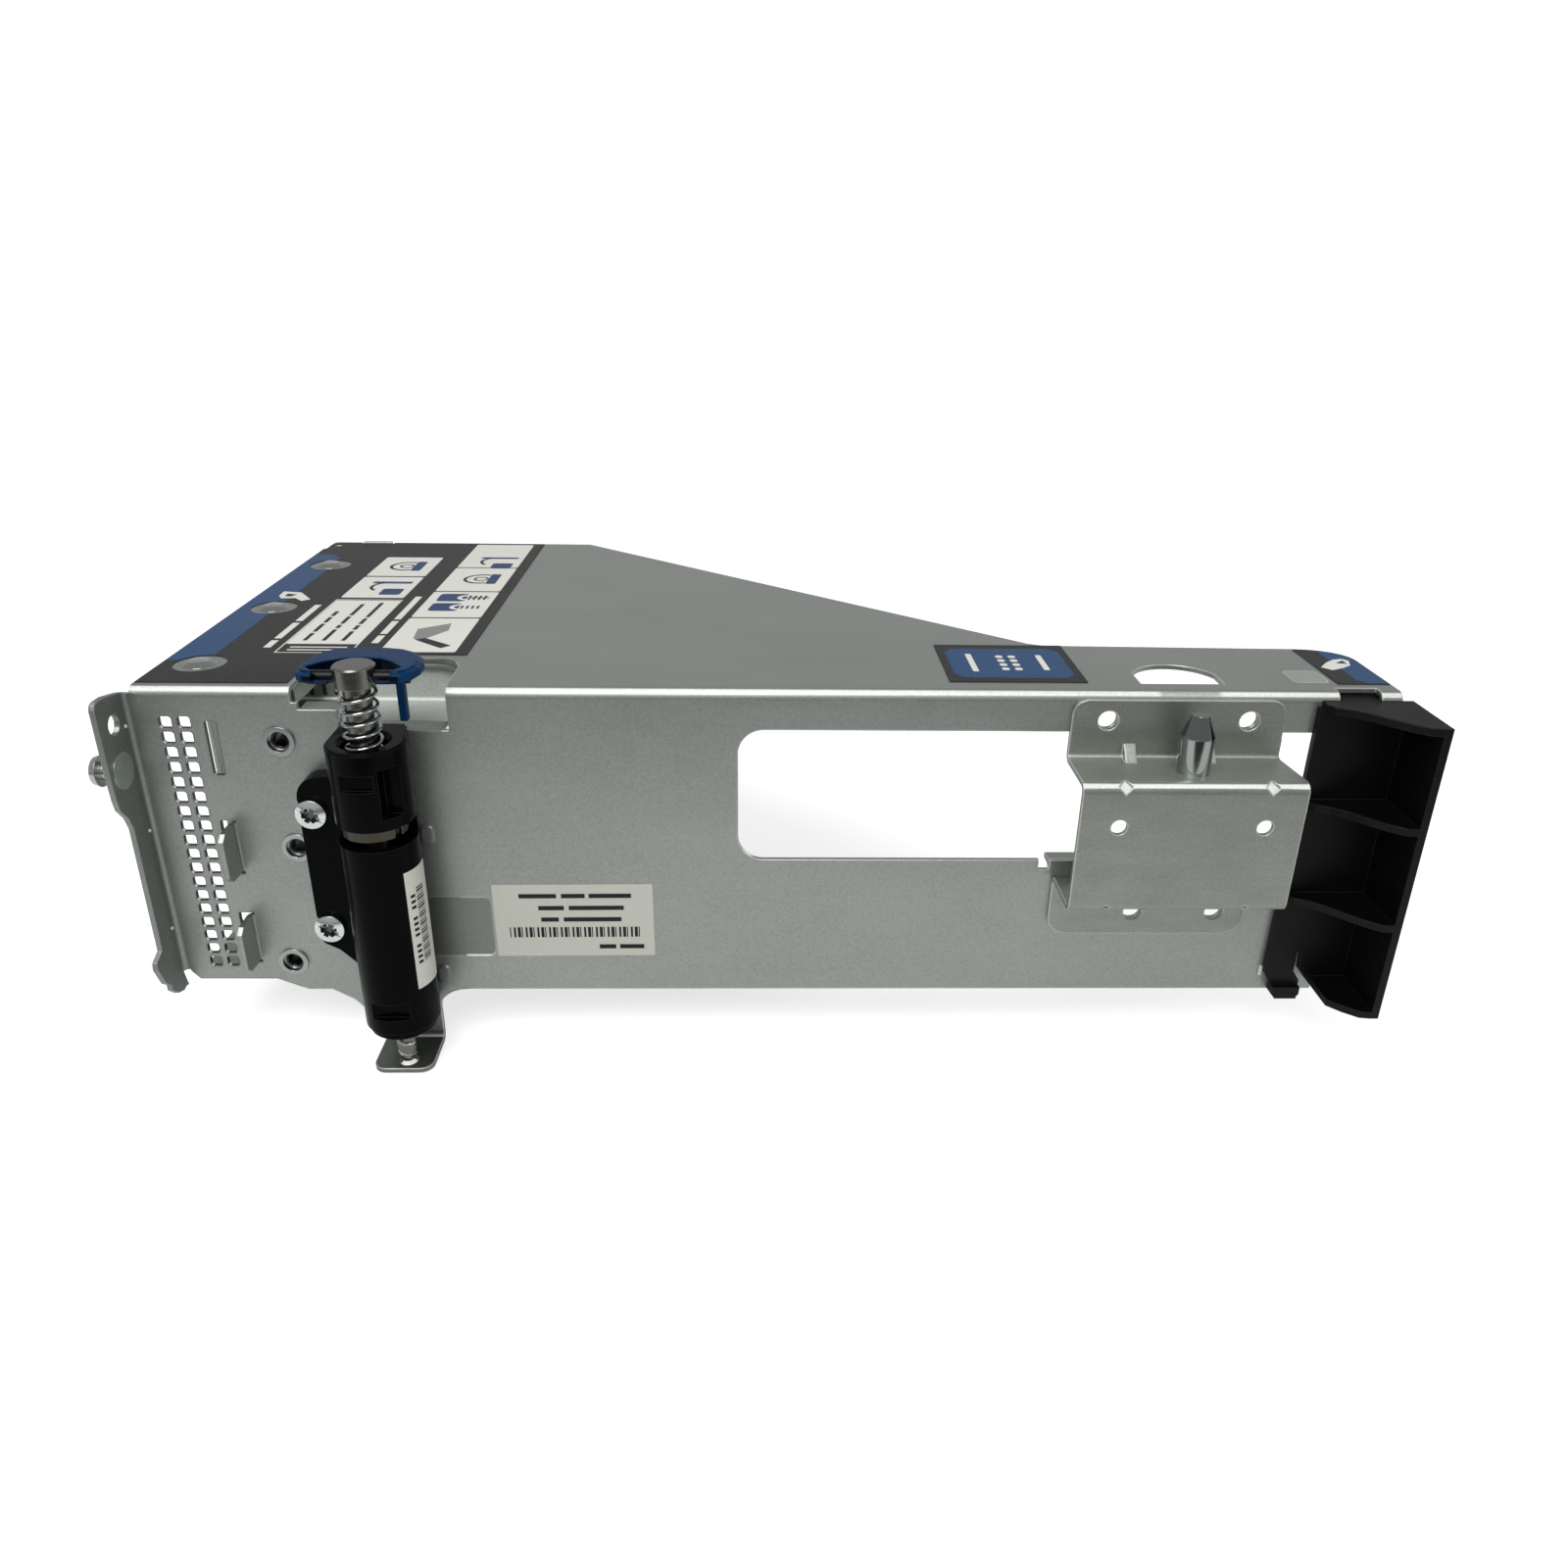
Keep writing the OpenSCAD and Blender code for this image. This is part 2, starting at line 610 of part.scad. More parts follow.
// Tapered guide pin pressed into the shelf
module guide_pin() {
    nose = 4.1;
    color(bright) placed() translate([pin_x, pin_y, shelf_z]) {
        cylinder(d = pin_d, h = pin_h - nose);
        translate([0, 0, pin_h - nose - eps]) cylinder(d1 = pin_d, d2 = 3, h = nose + eps);
        translate([0, 0, -sheet - eps]) cylinder(d = pin_root_d, h = sheet + 2 * eps);
        translate([0, 0, -sheet - 1]) cylinder(d1 = 4.6, d2 = 5.4, h = 1);
    }
}

// Plan of a shelf of the card-end guide: straight at the wall, a swept front edge
module guide_plan(x0) {
    intersection() {
        polygon([[guide_x + 0.8, 0], for (p = guide_sweep) [guide_x + p[0], -guide_out * p[1]],
            [guide_right, -guide_out], [guide_right, 0]]);
        translate([x0, -guide_out]) square([guide_right - x0, guide_out]);
    }
}

// Back of the guide on the wall: a slit sets the springy tongue free
module guide_back() {
    slit_x = guide_x + 6.1;
    slit_top = -wall_h + 10;
    clip_low = -wall_h - 0.8;
    polygon([[guide_x, end_z - play], [guide_right, end_z - play], [guide_right, guide_low],
        [guide_cut, guide_low], [slit_x + 1.2, guide_low + 2.9], [slit_x + 0.9, slit_top],
        [slit_x, slit_top], [slit_x, guide_low + 2.7], [slit_x + 1.6, guide_low + 0.4],
        [slit_x + 1.5, clip_low + 1], [slit_x + 0.7, clip_low], [guide_x + 3, clip_low],
        [guide_x + 1.8, clip_low + 1], [guide_x + 1.8, guide_low - 0.6],
        [guide_x, guide_low + 2.4]]);
}

// Black moulded guide at the card end, open to the front in three cells
module card_end_guide() {
    clip_low = -wall_h - 0.8;
    inner = wall_len + 0.2;
    shelves = [guide_top - guide_wall, for (i = [1, 2]) guide_top - i * guide_pitch - guide_wall / 2];
    color(black) placed() union() {
        for (z = shelves) translate([0, 0, z]) linear_extrude(guide_wall) guide_plan(guide_x);
        translate([0, 0, guide_low]) linear_extrude(guide_wall) guide_plan(guide_cut);
        // end wall, and the back with its tongue
        translate([guide_right - guide_wall, -guide_out, guide_low])
            cube([guide_wall, guide_out, guide_top - guide_low]);
        rotate([90, 0, 0]) linear_extrude(guide_wall) guide_back();
        // top shelf run on under the gap in the fold
        translate([inner, -1, guide_top - guide_wall]) cube([7.6, 4, guide_wall]);
        // clip under the wall
        translate([guide_x + 1.8, 0, 0]) rotate([90, 0, 0]) linear_extrude(2.8)
            polygon([[0, guide_low - 0.6], [0, clip_low + 1], [1.2, clip_low],
                [4.8, clip_low], [5.8, clip_low + 1], [5.8, guide_low - 0.6]]);
        translate([guide_x + 2.6, -2.8, clip_low]) cube([4.6, 2.8 + sheet + 1.5, 0.8 - play]);
    }
}

// Moulded body of the latch in plan, drawn in by a margin: round in front, back to the wall
module housing_plan(m = 0) {
    x = latch[0] + housing_shift;
    r = housing_d / 2 - m;
    translate([x, latch[1]]) circle(r);
    polygon([[x - r, latch[1]], [x - r, 0], [x + r - 2, 0], [x + r - 1, latch[1] / 2],
        [x + r, latch[1]]]);
}

// Ear with the two screws, beside the round body
module ear_outline() {
    low = screw_zs[1] - 1.6;
    r = ear_r - 0.8;
    polygon([for (a = [180 : -15 : 90]) [ear_x + ear_r * cos(a), -21 + ear_r * sin(a)],
        [latch_x - 5, -16], [latch_x - 5, low - 9], [latch_x - 8, low - 8.2],
        [ear_x - 0.8, low - r - 0.2], for (a = [220 : -20 : 180])
            [ear_x - 0.8 + r * cos(a), low + r * sin(a)]]);
}

module latch_housing() {
    r = housing_d / 2;
    front = latch[1] - r - 1;
    spring_bore = spring_d + 0.8;
    color(black) placed() difference() {
        union() {
            translate([0, 0, housing_low + 2.5])
                linear_extrude(housing_top - housing_low - 2.9) housing_plan();
            translate([0, 0, housing_top - 0.5]) linear_extrude(0.5) housing_plan(0.4);
            translate([0, 0, housing_low + 1]) linear_extrude(1.6) housing_plan(0.7);
            translate([0, 0, housing_low]) linear_extrude(1.1) housing_plan(2);
            on_wall(ear_t) ear_outline();
        }
        // spring bore, shaft bore and the cavity of the collar
        translate([latch[0], latch[1], spring_seat]) cylinder(d = spring_bore, h = 30);
        translate([latch[0], latch[1], housing_top - 0.8])
            cylinder(d1 = spring_bore, d2 = spring_bore + 1.8, h = 0.81);
        translate([latch[0], latch[1], housing_low - 1])
            cylinder(d = shaft_d + 2 * play, h = 60);
        translate([latch[0], latch[1], cavity_low])
            cylinder(d = collar_d + 2 * play, h = cavity_top - cavity_low);
        // window that shows the collar
        translate([latch[0] - r - 1, front, gap_top - gap_h])
            cube([housing_d + 2, r + 3.4, gap_h]);
        // shallow pockets in the face
        translate([latch[0] - 3.3, front, -14.6]) cube([6.2, 2.2, 3.2]);
        translate([latch[0] + 3.7, front, -20.4]) cube([6, 5.2, 9.8]);
        translate([latch[0] - 3.6, front, housing_low + 5.8]) cube([7.4, 2.6, 3.7]);
        // screw holes with a flat for each head
        for (z = screw_zs) translate([screw_x, 1, z]) rotate([90, 0, 0]) {
            cylinder(d = screw_d, h = 10);
            translate([0, 0, ear_t - screw_sink + 1]) cylinder(d = screw_head + 0.7, h = 4);
        }
    }
}

// Pan screw with a six-lobe recess and a slot
module pan_screw(z) {
    seat = ear_t - screw_sink;
    color(bright) placed() translate([screw_x, -seat, z]) rotate([90, 0, 0]) difference() {
        union() {
            intersection() {
                cylinder(d = screw_head, h = 2.2);
                translate([0, 0, -5.2]) sphere(r = 7.3);
            }
            translate([0, 0, -seat - sheet - 3]) cylinder(d = screw_d, h = seat + sheet + 3 + eps);
        }
        translate([0, 0, 0.9]) linear_extrude(3) for (a = [0, 60, 120]) rotate(a)
            square([3.2, 1], center = true);
        translate([0, 0, 1.5]) rotate(-30) translate([-4, -0.45, 0]) cube([8, 0.9, 2]);
    }
}

module housing_screw_upper() pan_screw(screw_zs[0]);
module housing_screw_lower() pan_screw(screw_zs[1]);

// Steel ring that slides in the housing and carries the shaft
module latch_collar() {
    color(bright) placed() translate([latch[0], latch[1], collar_top - collar_h]) difference() {
        cylinder(d = collar_d, h = collar_h);
        translate([0, 0, -1]) cylinder(d = shaft_d + 2 * play, h = collar_h + 2);
        // flat towards the wall and a slot in the round
        translate([-10, collar_d / 2 - 1, -1]) cube([20, 5, collar_h + 2]);
        rotate(-30) translate([collar_d / 2 - 1.2, -0.9, -1]) cube([3, 1.8, collar_h + 2]);
    }
}

// Turning shaft with a clip groove, a thin neck and a spiral cam tip
module latch_shaft() {
    tip_d = shaft_d - 1.2;
    neck_d = shaft_d - 2;
    tip_top = tip_low + 6;
    groove_d = shaft_d - 1.2;
    color(bright) placed() translate([latch[0], latch[1], 0]) difference() {
        union() {
            translate([0, 0, shaft_step]) cylinder(d = shaft_d, h = button_low - shaft_step);
            translate([0, 0, tip_top - eps]) cylinder(d = neck_d, h = shaft_step - tip_top + 2 * eps);
            translate([0, 0, tip_low + 1.8]) cylinder(d = tip_d, h = tip_top - tip_low - 1.8);
            translate([0, 0, tip_low]) cylinder(d1 = tip_d - 1.4, d2 = tip_d, h = 1.8 + eps);
        }
        translate([0, 0, clip_z - play]) difference() {
            cylinder(d = shaft_d + 1, h = clip_t + 2 * play);
            translate([0, 0, -1]) cylinder(d = groove_d, h = clip_t + 2);
        }
        translate([0, 0, tip_low - 0.1]) linear_extrude(6.3, twist = 300, slices = 12)
            for (s = [-1, 1]) translate([s * tip_d / 2 - 0.5, -0.6]) square([1, 1.2]);
    }
}

// Push button on top of the shaft, drilled for the cross bar
module latch_button() {
    edge = 0.3;
    color(bright) placed() translate([latch[0], latch[1], button_low]) difference() {
        union() {
            cylinder(d = button_d, h = button_h - edge);
            translate([0, 0, button_h - edge - eps])
                cylinder(d1 = button_d, d2 = button_d - 2 * edge, h = edge + eps);
        }
        translate([-button_d, 0, bar_z - button_low]) rotate([0, 90, 0])
            cylinder(d = bar_d, h = 2 * button_d);
    }
}

// Open ring in the groove under the collar
module shaft_clip() {
    color(dark) placed() translate([latch[0], latch[1], clip_z]) difference() {
        cylinder(d = shaft_d + 4, h = clip_t);
        translate([0, 0, -1]) cylinder(d = shaft_d - 1.1, h = clip_t + 2);
        translate([-1.6, 0, -1]) cube([3.2, shaft_d, clip_t + 2]);
    }
}

// Coil spring swept along its helix
SPRING_STEPS = 16;
SPRING_SIDES = 6;
module latch_spring() {
    coil_r = (spring_d - wire_d) / 2;
    low = spring_seat + wire_d / 2 + play;
    rise = button_low - wire_d / 2 - play - low;
    n = spring_turns * SPRING_STEPS;
    rings = [for (i = [0 : n], k = [0 : SPRING_SIDES - 1])
        let (a = 360 * i / SPRING_STEPS, b = 360 * k / SPRING_SIDES,
            r = coil_r + wire_d / 2 * cos(b))
        [r * cos(a), r * sin(a), low + rise * i / n + wire_d / 2 * sin(b)]];
    sides = [for (i = [0 : n - 1], k = [0 : SPRING_SIDES - 1])
        let (j = (k + 1) % SPRING_SIDES, p = i * SPRING_SIDES, q = p + SPRING_SIDES)
        [p + k, p + j, q + j, q + k]];
    ends = [[for (k = [SPRING_SIDES - 1 : -1 : 0]) k],
        [for (k = [0 : SPRING_SIDES - 1]) n * SPRING_SIDES + k]];
    color(bright) placed() translate([latch[0], latch[1], 0])
        polyhedron(rings, concat(sides, ends));
}

// Cross bar through the button
module handle_bar() {
    color(black) placed() translate([latch[0] - bar_len / 2, latch[1], bar_z]) rotate([0, 90, 0])
        cylinder(d = bar_d, h = bar_len);
}

// Bail handle: a rounded plate with an eye round the button, and one locking leg
module latch_handle() {
    color(blue) placed() translate([latch[0], latch[1], bar_z]) difference() {
        union() {
            translate([0, 0, bail_z - bail_t / 2]) difference() {
                // three layers give the edge its round
                for (m = [0, bail_round / 3, bail_round]) translate([0, 0, (bail_round - m) * 0.8])
                    linear_extrude(bail_t - 1.6 * (bail_round - m)) offset(delta = -m)
                    polygon(bail_shape);
                translate([0, 0, -1]) linear_extrude(bail_t + 2) polygon(bail_eye);
            }
            translate([leg[0], leg[1], leg_low - bar_z])
                cube([leg_size[0], leg_size[1], bar_z - leg_low]);
        }
        translate([-bar_len / 2 - play, 0, 0]) rotate([0, 90, 0])
            cylinder(d = bar_d + 2 * play, h = bar_len + 2 * play);
        cylinder(d = button_d + 0.6, h = 4 * bail_t, center = true);
        translate([-6.8, -5, -hook_lip]) cube([13.6, 5, bail_t]);
    }
}

module label_holes() for (y = rivet_ys) translate([rivet_x, y]) circle(d = 10);

// Printed sheet on the roof, cut round the notch and the rivets
module instruction_label() {
    far = roof_depth - 0.6;
    edge = 0.3;
    color(dark) placed() linear_extrude(label_t) difference() {
        polygon([[edge, 2.4], [notch_x0 - 0.9, 2.4], [notch_x0 - 0.9, notch_depth + 2],
            [instruction_w, notch_depth + 2], [instruction_w, far], [2.5, far],
            [edge + 0.6, far - 2.4], [edge + 0.6, far - 7.4], [edge, far - 7.8]]);
        label_holes();
        translate([post_tab_x - 0.8, roof_depth - 1.9]) square([post_tab_w + 1.6, 4]);
        translate([3, roof_depth - 4.4]) circle(d = 2.2);
    }
}

module press_label() {
    color(blue) placed() translate(press_at) linear_extrude(label_t) square(press_size);
}

// Printed sheet at the card end of the strip, with the strip's round corner
module end_label() {
    y0 = 5.2;
    right = roof_len - 0.4;
    far = strip_depth - 0.6;
    color(blue) placed() linear_extrude(label_t) polygon([[end_label_x, y0], [right, y0],
        [right, far - 7], for (a = [0 : 15 : 75])
            [right - end_corner + end_corner * cos(a), far - 7 + 7 * sin(a)], [end_label_x, far]]);
}

module wall_label() {
    color(white) placed() on_wall(label_t) translate(wall_label_at) rotate(0.4)
        square(wall_label_size);
}

// Sticker wrapped on the round of the housing
module latch_label() {
    color(white) placed() translate([latch[0] + housing_shift, latch[1], latch_label_z[0]])
        rotate([0, 0, latch_label_a[0]]) rotate_extrude(angle = latch_label_a[1] - latch_label_a[0])
        translate([housing_d / 2, 0]) square([label_t, latch_label_z[1] - latch_label_z[0]]);
}

cage_shell();
rear_slot_frame();
frame_rivets();
board_standoff_upper();
board_standoff_middle();
board_standoff_lower();
flange_stud();
pin_bracket();
notch_backplate();
guide_pin();
card_end_guide();
latch_housing();
housing_screw_upper();
housing_screw_lower();
latch_collar();
latch_shaft();
latch_button();
shaft_clip();
latch_spring();
handle_bar();
latch_handle();
instruction_label();
press_label();
end_label();
wall_label();
latch_label();
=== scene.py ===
import math
import bmesh
import bpy
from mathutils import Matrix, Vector


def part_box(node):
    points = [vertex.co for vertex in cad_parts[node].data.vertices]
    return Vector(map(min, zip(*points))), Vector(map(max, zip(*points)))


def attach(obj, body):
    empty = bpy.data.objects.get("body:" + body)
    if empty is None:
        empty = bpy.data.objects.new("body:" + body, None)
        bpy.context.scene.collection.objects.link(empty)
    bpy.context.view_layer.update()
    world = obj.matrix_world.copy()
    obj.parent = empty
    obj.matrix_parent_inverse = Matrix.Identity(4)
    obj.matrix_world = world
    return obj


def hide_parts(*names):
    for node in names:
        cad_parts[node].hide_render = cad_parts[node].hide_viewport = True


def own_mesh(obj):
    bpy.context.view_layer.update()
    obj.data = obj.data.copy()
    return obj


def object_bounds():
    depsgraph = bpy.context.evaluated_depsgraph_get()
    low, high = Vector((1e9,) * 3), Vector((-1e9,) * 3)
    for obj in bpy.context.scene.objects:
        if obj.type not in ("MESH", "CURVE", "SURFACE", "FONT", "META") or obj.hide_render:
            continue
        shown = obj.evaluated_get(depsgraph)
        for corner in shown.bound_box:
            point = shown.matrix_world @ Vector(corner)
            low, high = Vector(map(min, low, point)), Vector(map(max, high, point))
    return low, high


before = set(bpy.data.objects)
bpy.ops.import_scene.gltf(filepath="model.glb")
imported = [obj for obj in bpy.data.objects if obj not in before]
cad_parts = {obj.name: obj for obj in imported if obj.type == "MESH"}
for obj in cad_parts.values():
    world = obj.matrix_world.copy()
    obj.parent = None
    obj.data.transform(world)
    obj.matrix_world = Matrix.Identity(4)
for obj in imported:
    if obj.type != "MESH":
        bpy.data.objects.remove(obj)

cad_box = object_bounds()

# ---------------------------------------------------------------- folded sheet
# The wall and roof are one sheet of zinc-coated steel, punched flat and then folded in a
# press brake. The coating is a satin grey with a fine rolled grain along the sheet. The
# sheared edges are bright from rubbing and carry a painted highlight as well, and the
# outside of each fold carries a painted highlight.
MM = 0.001                               # one millimetre; the scene is in metres


def paint(red, green, blue):
    """A colour as it looks on screen, 0 to 255, turned into scene light."""
    return tuple(
        (v / 255 / 12.92) if v / 255 <= 0.04045 else ((v / 255 + 0.055) / 1.055) ** 2.4
        for v in (red, green, blue)
    )


class Signal:
    """One shader socket. Sums written with it add the Math or Vector Math nodes."""

    def __init__(self, graph, socket):
        self.graph = graph
        self.socket = socket

    def sum(self, operation, first, second=0.0):
        wide = any(
            isinstance(v, tuple)
            or (isinstance(v, Signal) and v.socket.type in ("VECTOR", "RGBA"))
            for v in (first, second)
        )
        if not wide:
            return self.graph.node(
                "ShaderNodeMath", {"operation": operation}, {0: first, 1: second}
            )
        pair = [(v,) * 3 if isinstance(v, (int, float)) else v for v in (first, second)]
        return self.graph.node(
            "ShaderNodeVectorMath", {"operation": operation}, {0: pair[0], 1: pair[1]}
        )

    def __add__(self, other):
        return self.sum("ADD", self, other)

    def __radd__(self, other):
        return self.sum("ADD", other, self)

    def __sub__(self, other):
        return self.sum("SUBTRACT", self, other)

    def __rsub__(self, other):
        return self.sum("SUBTRACT", other, self)

    def __mul__(self, other):
        return self.sum("MULTIPLY", self, other)

    def __rmul__(self, other):
        return self.sum("MULTIPLY", other, self)

    def __truediv__(self, other):
        return self.sum("DIVIDE", self, other)

    def __rtruediv__(self, other):
        return self.sum("DIVIDE", other, self)

    def __pow__(self, other):
        return self.sum("POWER", self, other)

    def __abs__(self):
        return self.sum("ABSOLUTE", self)

    def above(self, least):
        return self.sum("MAXIMUM", self, least)

    def below(self, most):
        return self.sum("MINIMUM", self, most)

    def fade(self, low, high):
        """0 below low, 1 above high, smooth between; low may be the higher one."""
        return self.graph.node(
            "ShaderNodeMapRange",
            {"interpolation_type": "SMOOTHSTEP"},
            {0: self, 1: low, 2: high, 3: 0.0, 4: 1.0},
        )

    def within(self, low, high, soft):
        """1 between low and high, with soft edges inside them."""
        return self.fade(low, low + soft) * self.fade(high, high - soft)


class Graph:
    """A node tree whose nodes all come from one method."""

    def __init__(self, tree):
        self.tree = tree

    def node(self, kind, settings=None, sockets=None, out=0):
        """Any node: its type, its settings, then the values or links of its sockets."""
        made = self.tree.nodes.new(kind)
        for name, value in (settings or {}).items():
            setattr(made, name, value)
        for name, value in (sockets or {}).items():
            self.feed(made.inputs[name], value)
        return Signal(self, made.outputs[out])

    def feed(self, socket, value):
        if isinstance(value, Signal):
            self.tree.links.new(value.socket, socket)
        elif socket.type == "RGBA" and len(value) == 3:
            socket.default_value = (*value, 1.0)
        else:
            socket.default_value = value


class Finish(Graph):
    """The material of one finish, with its nodes written as sums."""

    def __init__(self, name):
        self.material = bpy.data.materials.new(name)
        self.material.use_nodes = True
        super().__init__(self.material.node_tree)
        self.shader = self.tree.nodes["Principled BSDF"]
        # millimetres from the guide pin's seat
        self.place = self.node("ShaderNodeTexCoord", out="Object") * 1000.0
        self.x, self.y, self.z = self.axes(self.place)

    def grain(self, scale, detail=2.0, roughness=0.5):
        """Noise from 0 to 1; scale is in waves per millimetre, one for each axis."""
        return self.node(
            "ShaderNodeTexNoise",
            None,
            {
                "Vector": self.place * scale,
                "Scale": 1.0,
                "Detail": detail,
                "Roughness": roughness,
            },
        )

    def axes(self, vector):
        return [self.node("ShaderNodeSeparateXYZ", None, {0: vector}, out=k) for k in range(3)]

    def facing(self):
        """The three parts of the surface's own direction."""
        return self.axes(self.node("ShaderNodeTexCoord", out="Normal"))

    def shaded(self, colour, shade):
        """A colour made lighter or darker by a value that varies over the surface."""
        return self.node(
            "ShaderNodeVectorMath", {"operation": "SCALE"}, {0: colour, "Scale": shade}
        )

    def blend(self, mask, first, second):
        """first where the mask is 0, second where it is 1."""
        return self.node(
            "ShaderNodeMix",
            {"data_type": "RGBA"},
            {0: mask, 6: first, 7: second},
            out=2,
        )

    def rounded_edges(self, radius):
        """The normal with its edges rounded off, and a mask that is 1 along the edges."""
        normal = self.node(
            "ShaderNodeBevel", {"samples": 6}, {"Radius": radius * MM}, out=0
        )
        flat = self.node("ShaderNodeNewGeometry", out="Normal")
        facing = self.node(
            "ShaderNodeVectorMath",
            {"operation": "DOT_PRODUCT"},
            {0: normal, 1: flat},
            out="Value",
        )
        return normal, facing.fade(0.995, 0.86)

    def bump(self, height, strength, depth, normal=None):
        sockets = {"Height": height, "Strength": strength, "Distance": depth * MM}
        if normal is not None:
            sockets["Normal"] = normal
        return self.node("ShaderNodeBump", None, sockets)

    def set(self, **values):
        """Feeds the shader; a plain number or colour is set on its own socket."""
        for name, value in values.items():
            socket = name.replace("_", " ").title().replace("Ior", "IOR")
            self.feed(self.shader.inputs[socket], value)
        return self.material


def zinc_coated_sheet(name, tone, dull=0.0, painted_light=None, fold_highlight_share=None, stain=0.0, shaded_edges=None):
    """Sheet with a painted highlight on its folds. Dull, from 0 to 1, takes away its shine, as
    blasting does.

    painted_light gives the painted shade and painted highlights of pressed and punched places,
    fold_highlight_share how much of the painted highlight each fold keeps, shaded_edges the
    cut edges painted as dark lines of shade, and stain how cloudy the coating is.
    """
    zinc = Finish(name)
    rolled = zinc.grain((0.03, 1.0, 1.0), detail=4.0, roughness=0.65)
    cloud = zinc.grain((0.03, 0.05, 0.05), detail=3.0)
    grit = zinc.grain((1.7, 1.7, 1.7), detail=3.0, roughness=0.75)
    fleck = zinc.grain((0.5, 0.5, 0.5), detail=3.0, roughness=0.7).fade(0.66, 0.78)
    normal, edge = zinc.rounded_edges(0.5)
    upward = zinc.facing()[2]
    handled = 0.62 - 0.34 * upward.fade(0.80, 0.95)
    # painted highlight on faces tilted up towards the lamp, which are the outsides of the folds
    fold = upward.fade(0.48, 0.62) * upward.fade(0.95, 0.84)
    if fold_highlight_share:
        fold = fold * fold_highlight_share(zinc)
    shade = (
        1.0
        + 0.09 * (rolled - 0.5)
        + 0.22 * (cloud - 0.5)
        + handled * (grit - 0.5)
        - 0.07 * fleck
    )
    if stain:
        patch = zinc.grain((0.10, 0.3, 0.30), detail=4.0, roughness=0.6)
        shade = shade + stain * (patch - 0.5)
    # painted shade and painted highlights of pressed and punched places
    if painted_light:
        shade = shade * painted_light(zinc)
    # painted shade: the chosen cut edges become dark lines instead of bright ones
    if shaded_edges:
        edge_shade = shaded_edges(zinc)
        shade = shade * (1.0 - 0.5 * edge * edge_shade)
        edge = edge * (1.0 - edge_shade)
    body = zinc.shaded(tone, shade)
    # bright tone of the cut edges, partly from rubbing and partly a painted highlight, and of the
    # painted highlight on the folds
    brightened = paint(250, 252, 246)
    highlight_breakup = 0.86 + 0.5 * (cloud - 0.5) + 0.8 * (grit - 0.5)
    return zinc.set(
        base_color=zinc.blend((0.7 * edge).above(fold * highlight_breakup), body, brightened),
        metallic=(0.88 - 0.5 * dull - (0.45 - 0.3 * dull) * edge) * (1.0 - 0.9 * fold),
        roughness=0.42 + 0.12 * dull + 0.12 * (grit - 0.5) + 0.08 * (rolled - 0.5) - 0.10 * edge,
        normal=zinc.bump(grit + rolled, 0.08, 0.04, normal),
    )


# places on the cage, in millimetres: x along the fold, y in from the wall, z upwards
wall_face, wall_back = 7.5, 8.5
vents_right, roof_start = -177.0, 8.5
pocket_x, pocket_z = -143.6, -38.85
pocket_half_width, pocket_half_height = 5.8, 5.25
stops_left, stops_right = -153.5, -142.0
foot_bend = -64.0
flange_bend = -198.0
half_round_x = 0.6


def round_vents(zinc):
    """1 in the part of the wall that holds the vents."""
    right = zinc.x.fade(vents_right + 0.5, vents_right - 0.5)
    return right * zinc.z.fade(roof_start + 0.5, roof_start - 0.5)


def round_hooks(zinc, left, right):
    """1 on the hooks that stand out from the wall between two places along it."""
    return zinc.x.within(left, right, 1.0) * zinc.y.fade(wall_face, wall_face - 0.3)


def wall_painted_light(zinc):
    """Painted shade in the vents' cut walls, the shallow pressed pocket, the foot, flange and
    hooks' cut faces, with a painted highlight round the pocket's rim.
    """
    vent_walls = zinc.y.within(wall_face + 0.05, wall_back, 0.2) * round_vents(zinc)
    across = (abs(zinc.x - pocket_x) - pocket_half_width).above(0.0)
    upright = (abs(zinc.z - pocket_z) - pocket_half_height).above(0.0)
    reach = (across**2 + upright**2) ** 0.5
    front = zinc.y.fade(wall_face + 0.7, wall_face + 0.5)
    pocket = reach.fade(1.7, 1.4) * front
    rim = reach.within(1.4, 2.0, 0.2) * front
    foot = zinc.z.fade(foot_bend, foot_bend - 1.0)
    flange = zinc.x.fade(flange_bend + 0.5, flange_bend - 1.8)
    sideways, _, upward = zinc.facing()
    cut_faces = sideways.fade(-0.15, -0.45).above(upward.fade(0.2, 0.5))
    return (
        (1.0 - 0.8 * vent_walls)
        * (1.0 - 0.34 * pocket + 0.3 * rim)
        * (1.0 - 0.5 * foot)
        * (1.0 - 0.2 * flange)
        * (1.0 - 0.62 * cut_faces * round_hooks(zinc, -188.5, -180.0))
    )


def roof_fold_highlight(zinc):
    """The roof fold carries a painted highlight, less of it where the fold was coined flat beside
    the half-round hole.
    """
    return 1.0 - 0.6 * abs(zinc.x - half_round_x).fade(6.6, 5.0) * zinc.z.fade(9.0, 10.0)


def shaded_cut_edges(zinc):
    """How dark a line of painted shade the cut edge gets, round the vents, stops, hooks and flange.
    """
    vents = round_vents(zinc) * zinc.y.fade(wall_face - 0.5, wall_face - 0.2)
    stops = zinc.x.within(stops_left, stops_right, 0.5) * zinc.y.fade(6.0, 6.4)
    hooks = round_hooks(zinc, -188.0, -181.0)
    flange = zinc.x.fade(flange_bend, flange_bend - 1.0)
    lines = vents.above(stops).above(0.8 * hooks).above(0.7 * flange)
    return lines * zinc.z.fade(-56.0, -55.0)


def coat(node, material):
    """Gives a CAD node its finish in every slot."""
    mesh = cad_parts[node].data
    if not mesh.materials:
        mesh.materials.append(material)
    for index in range(len(mesh.materials)):
        mesh.materials[index] = material


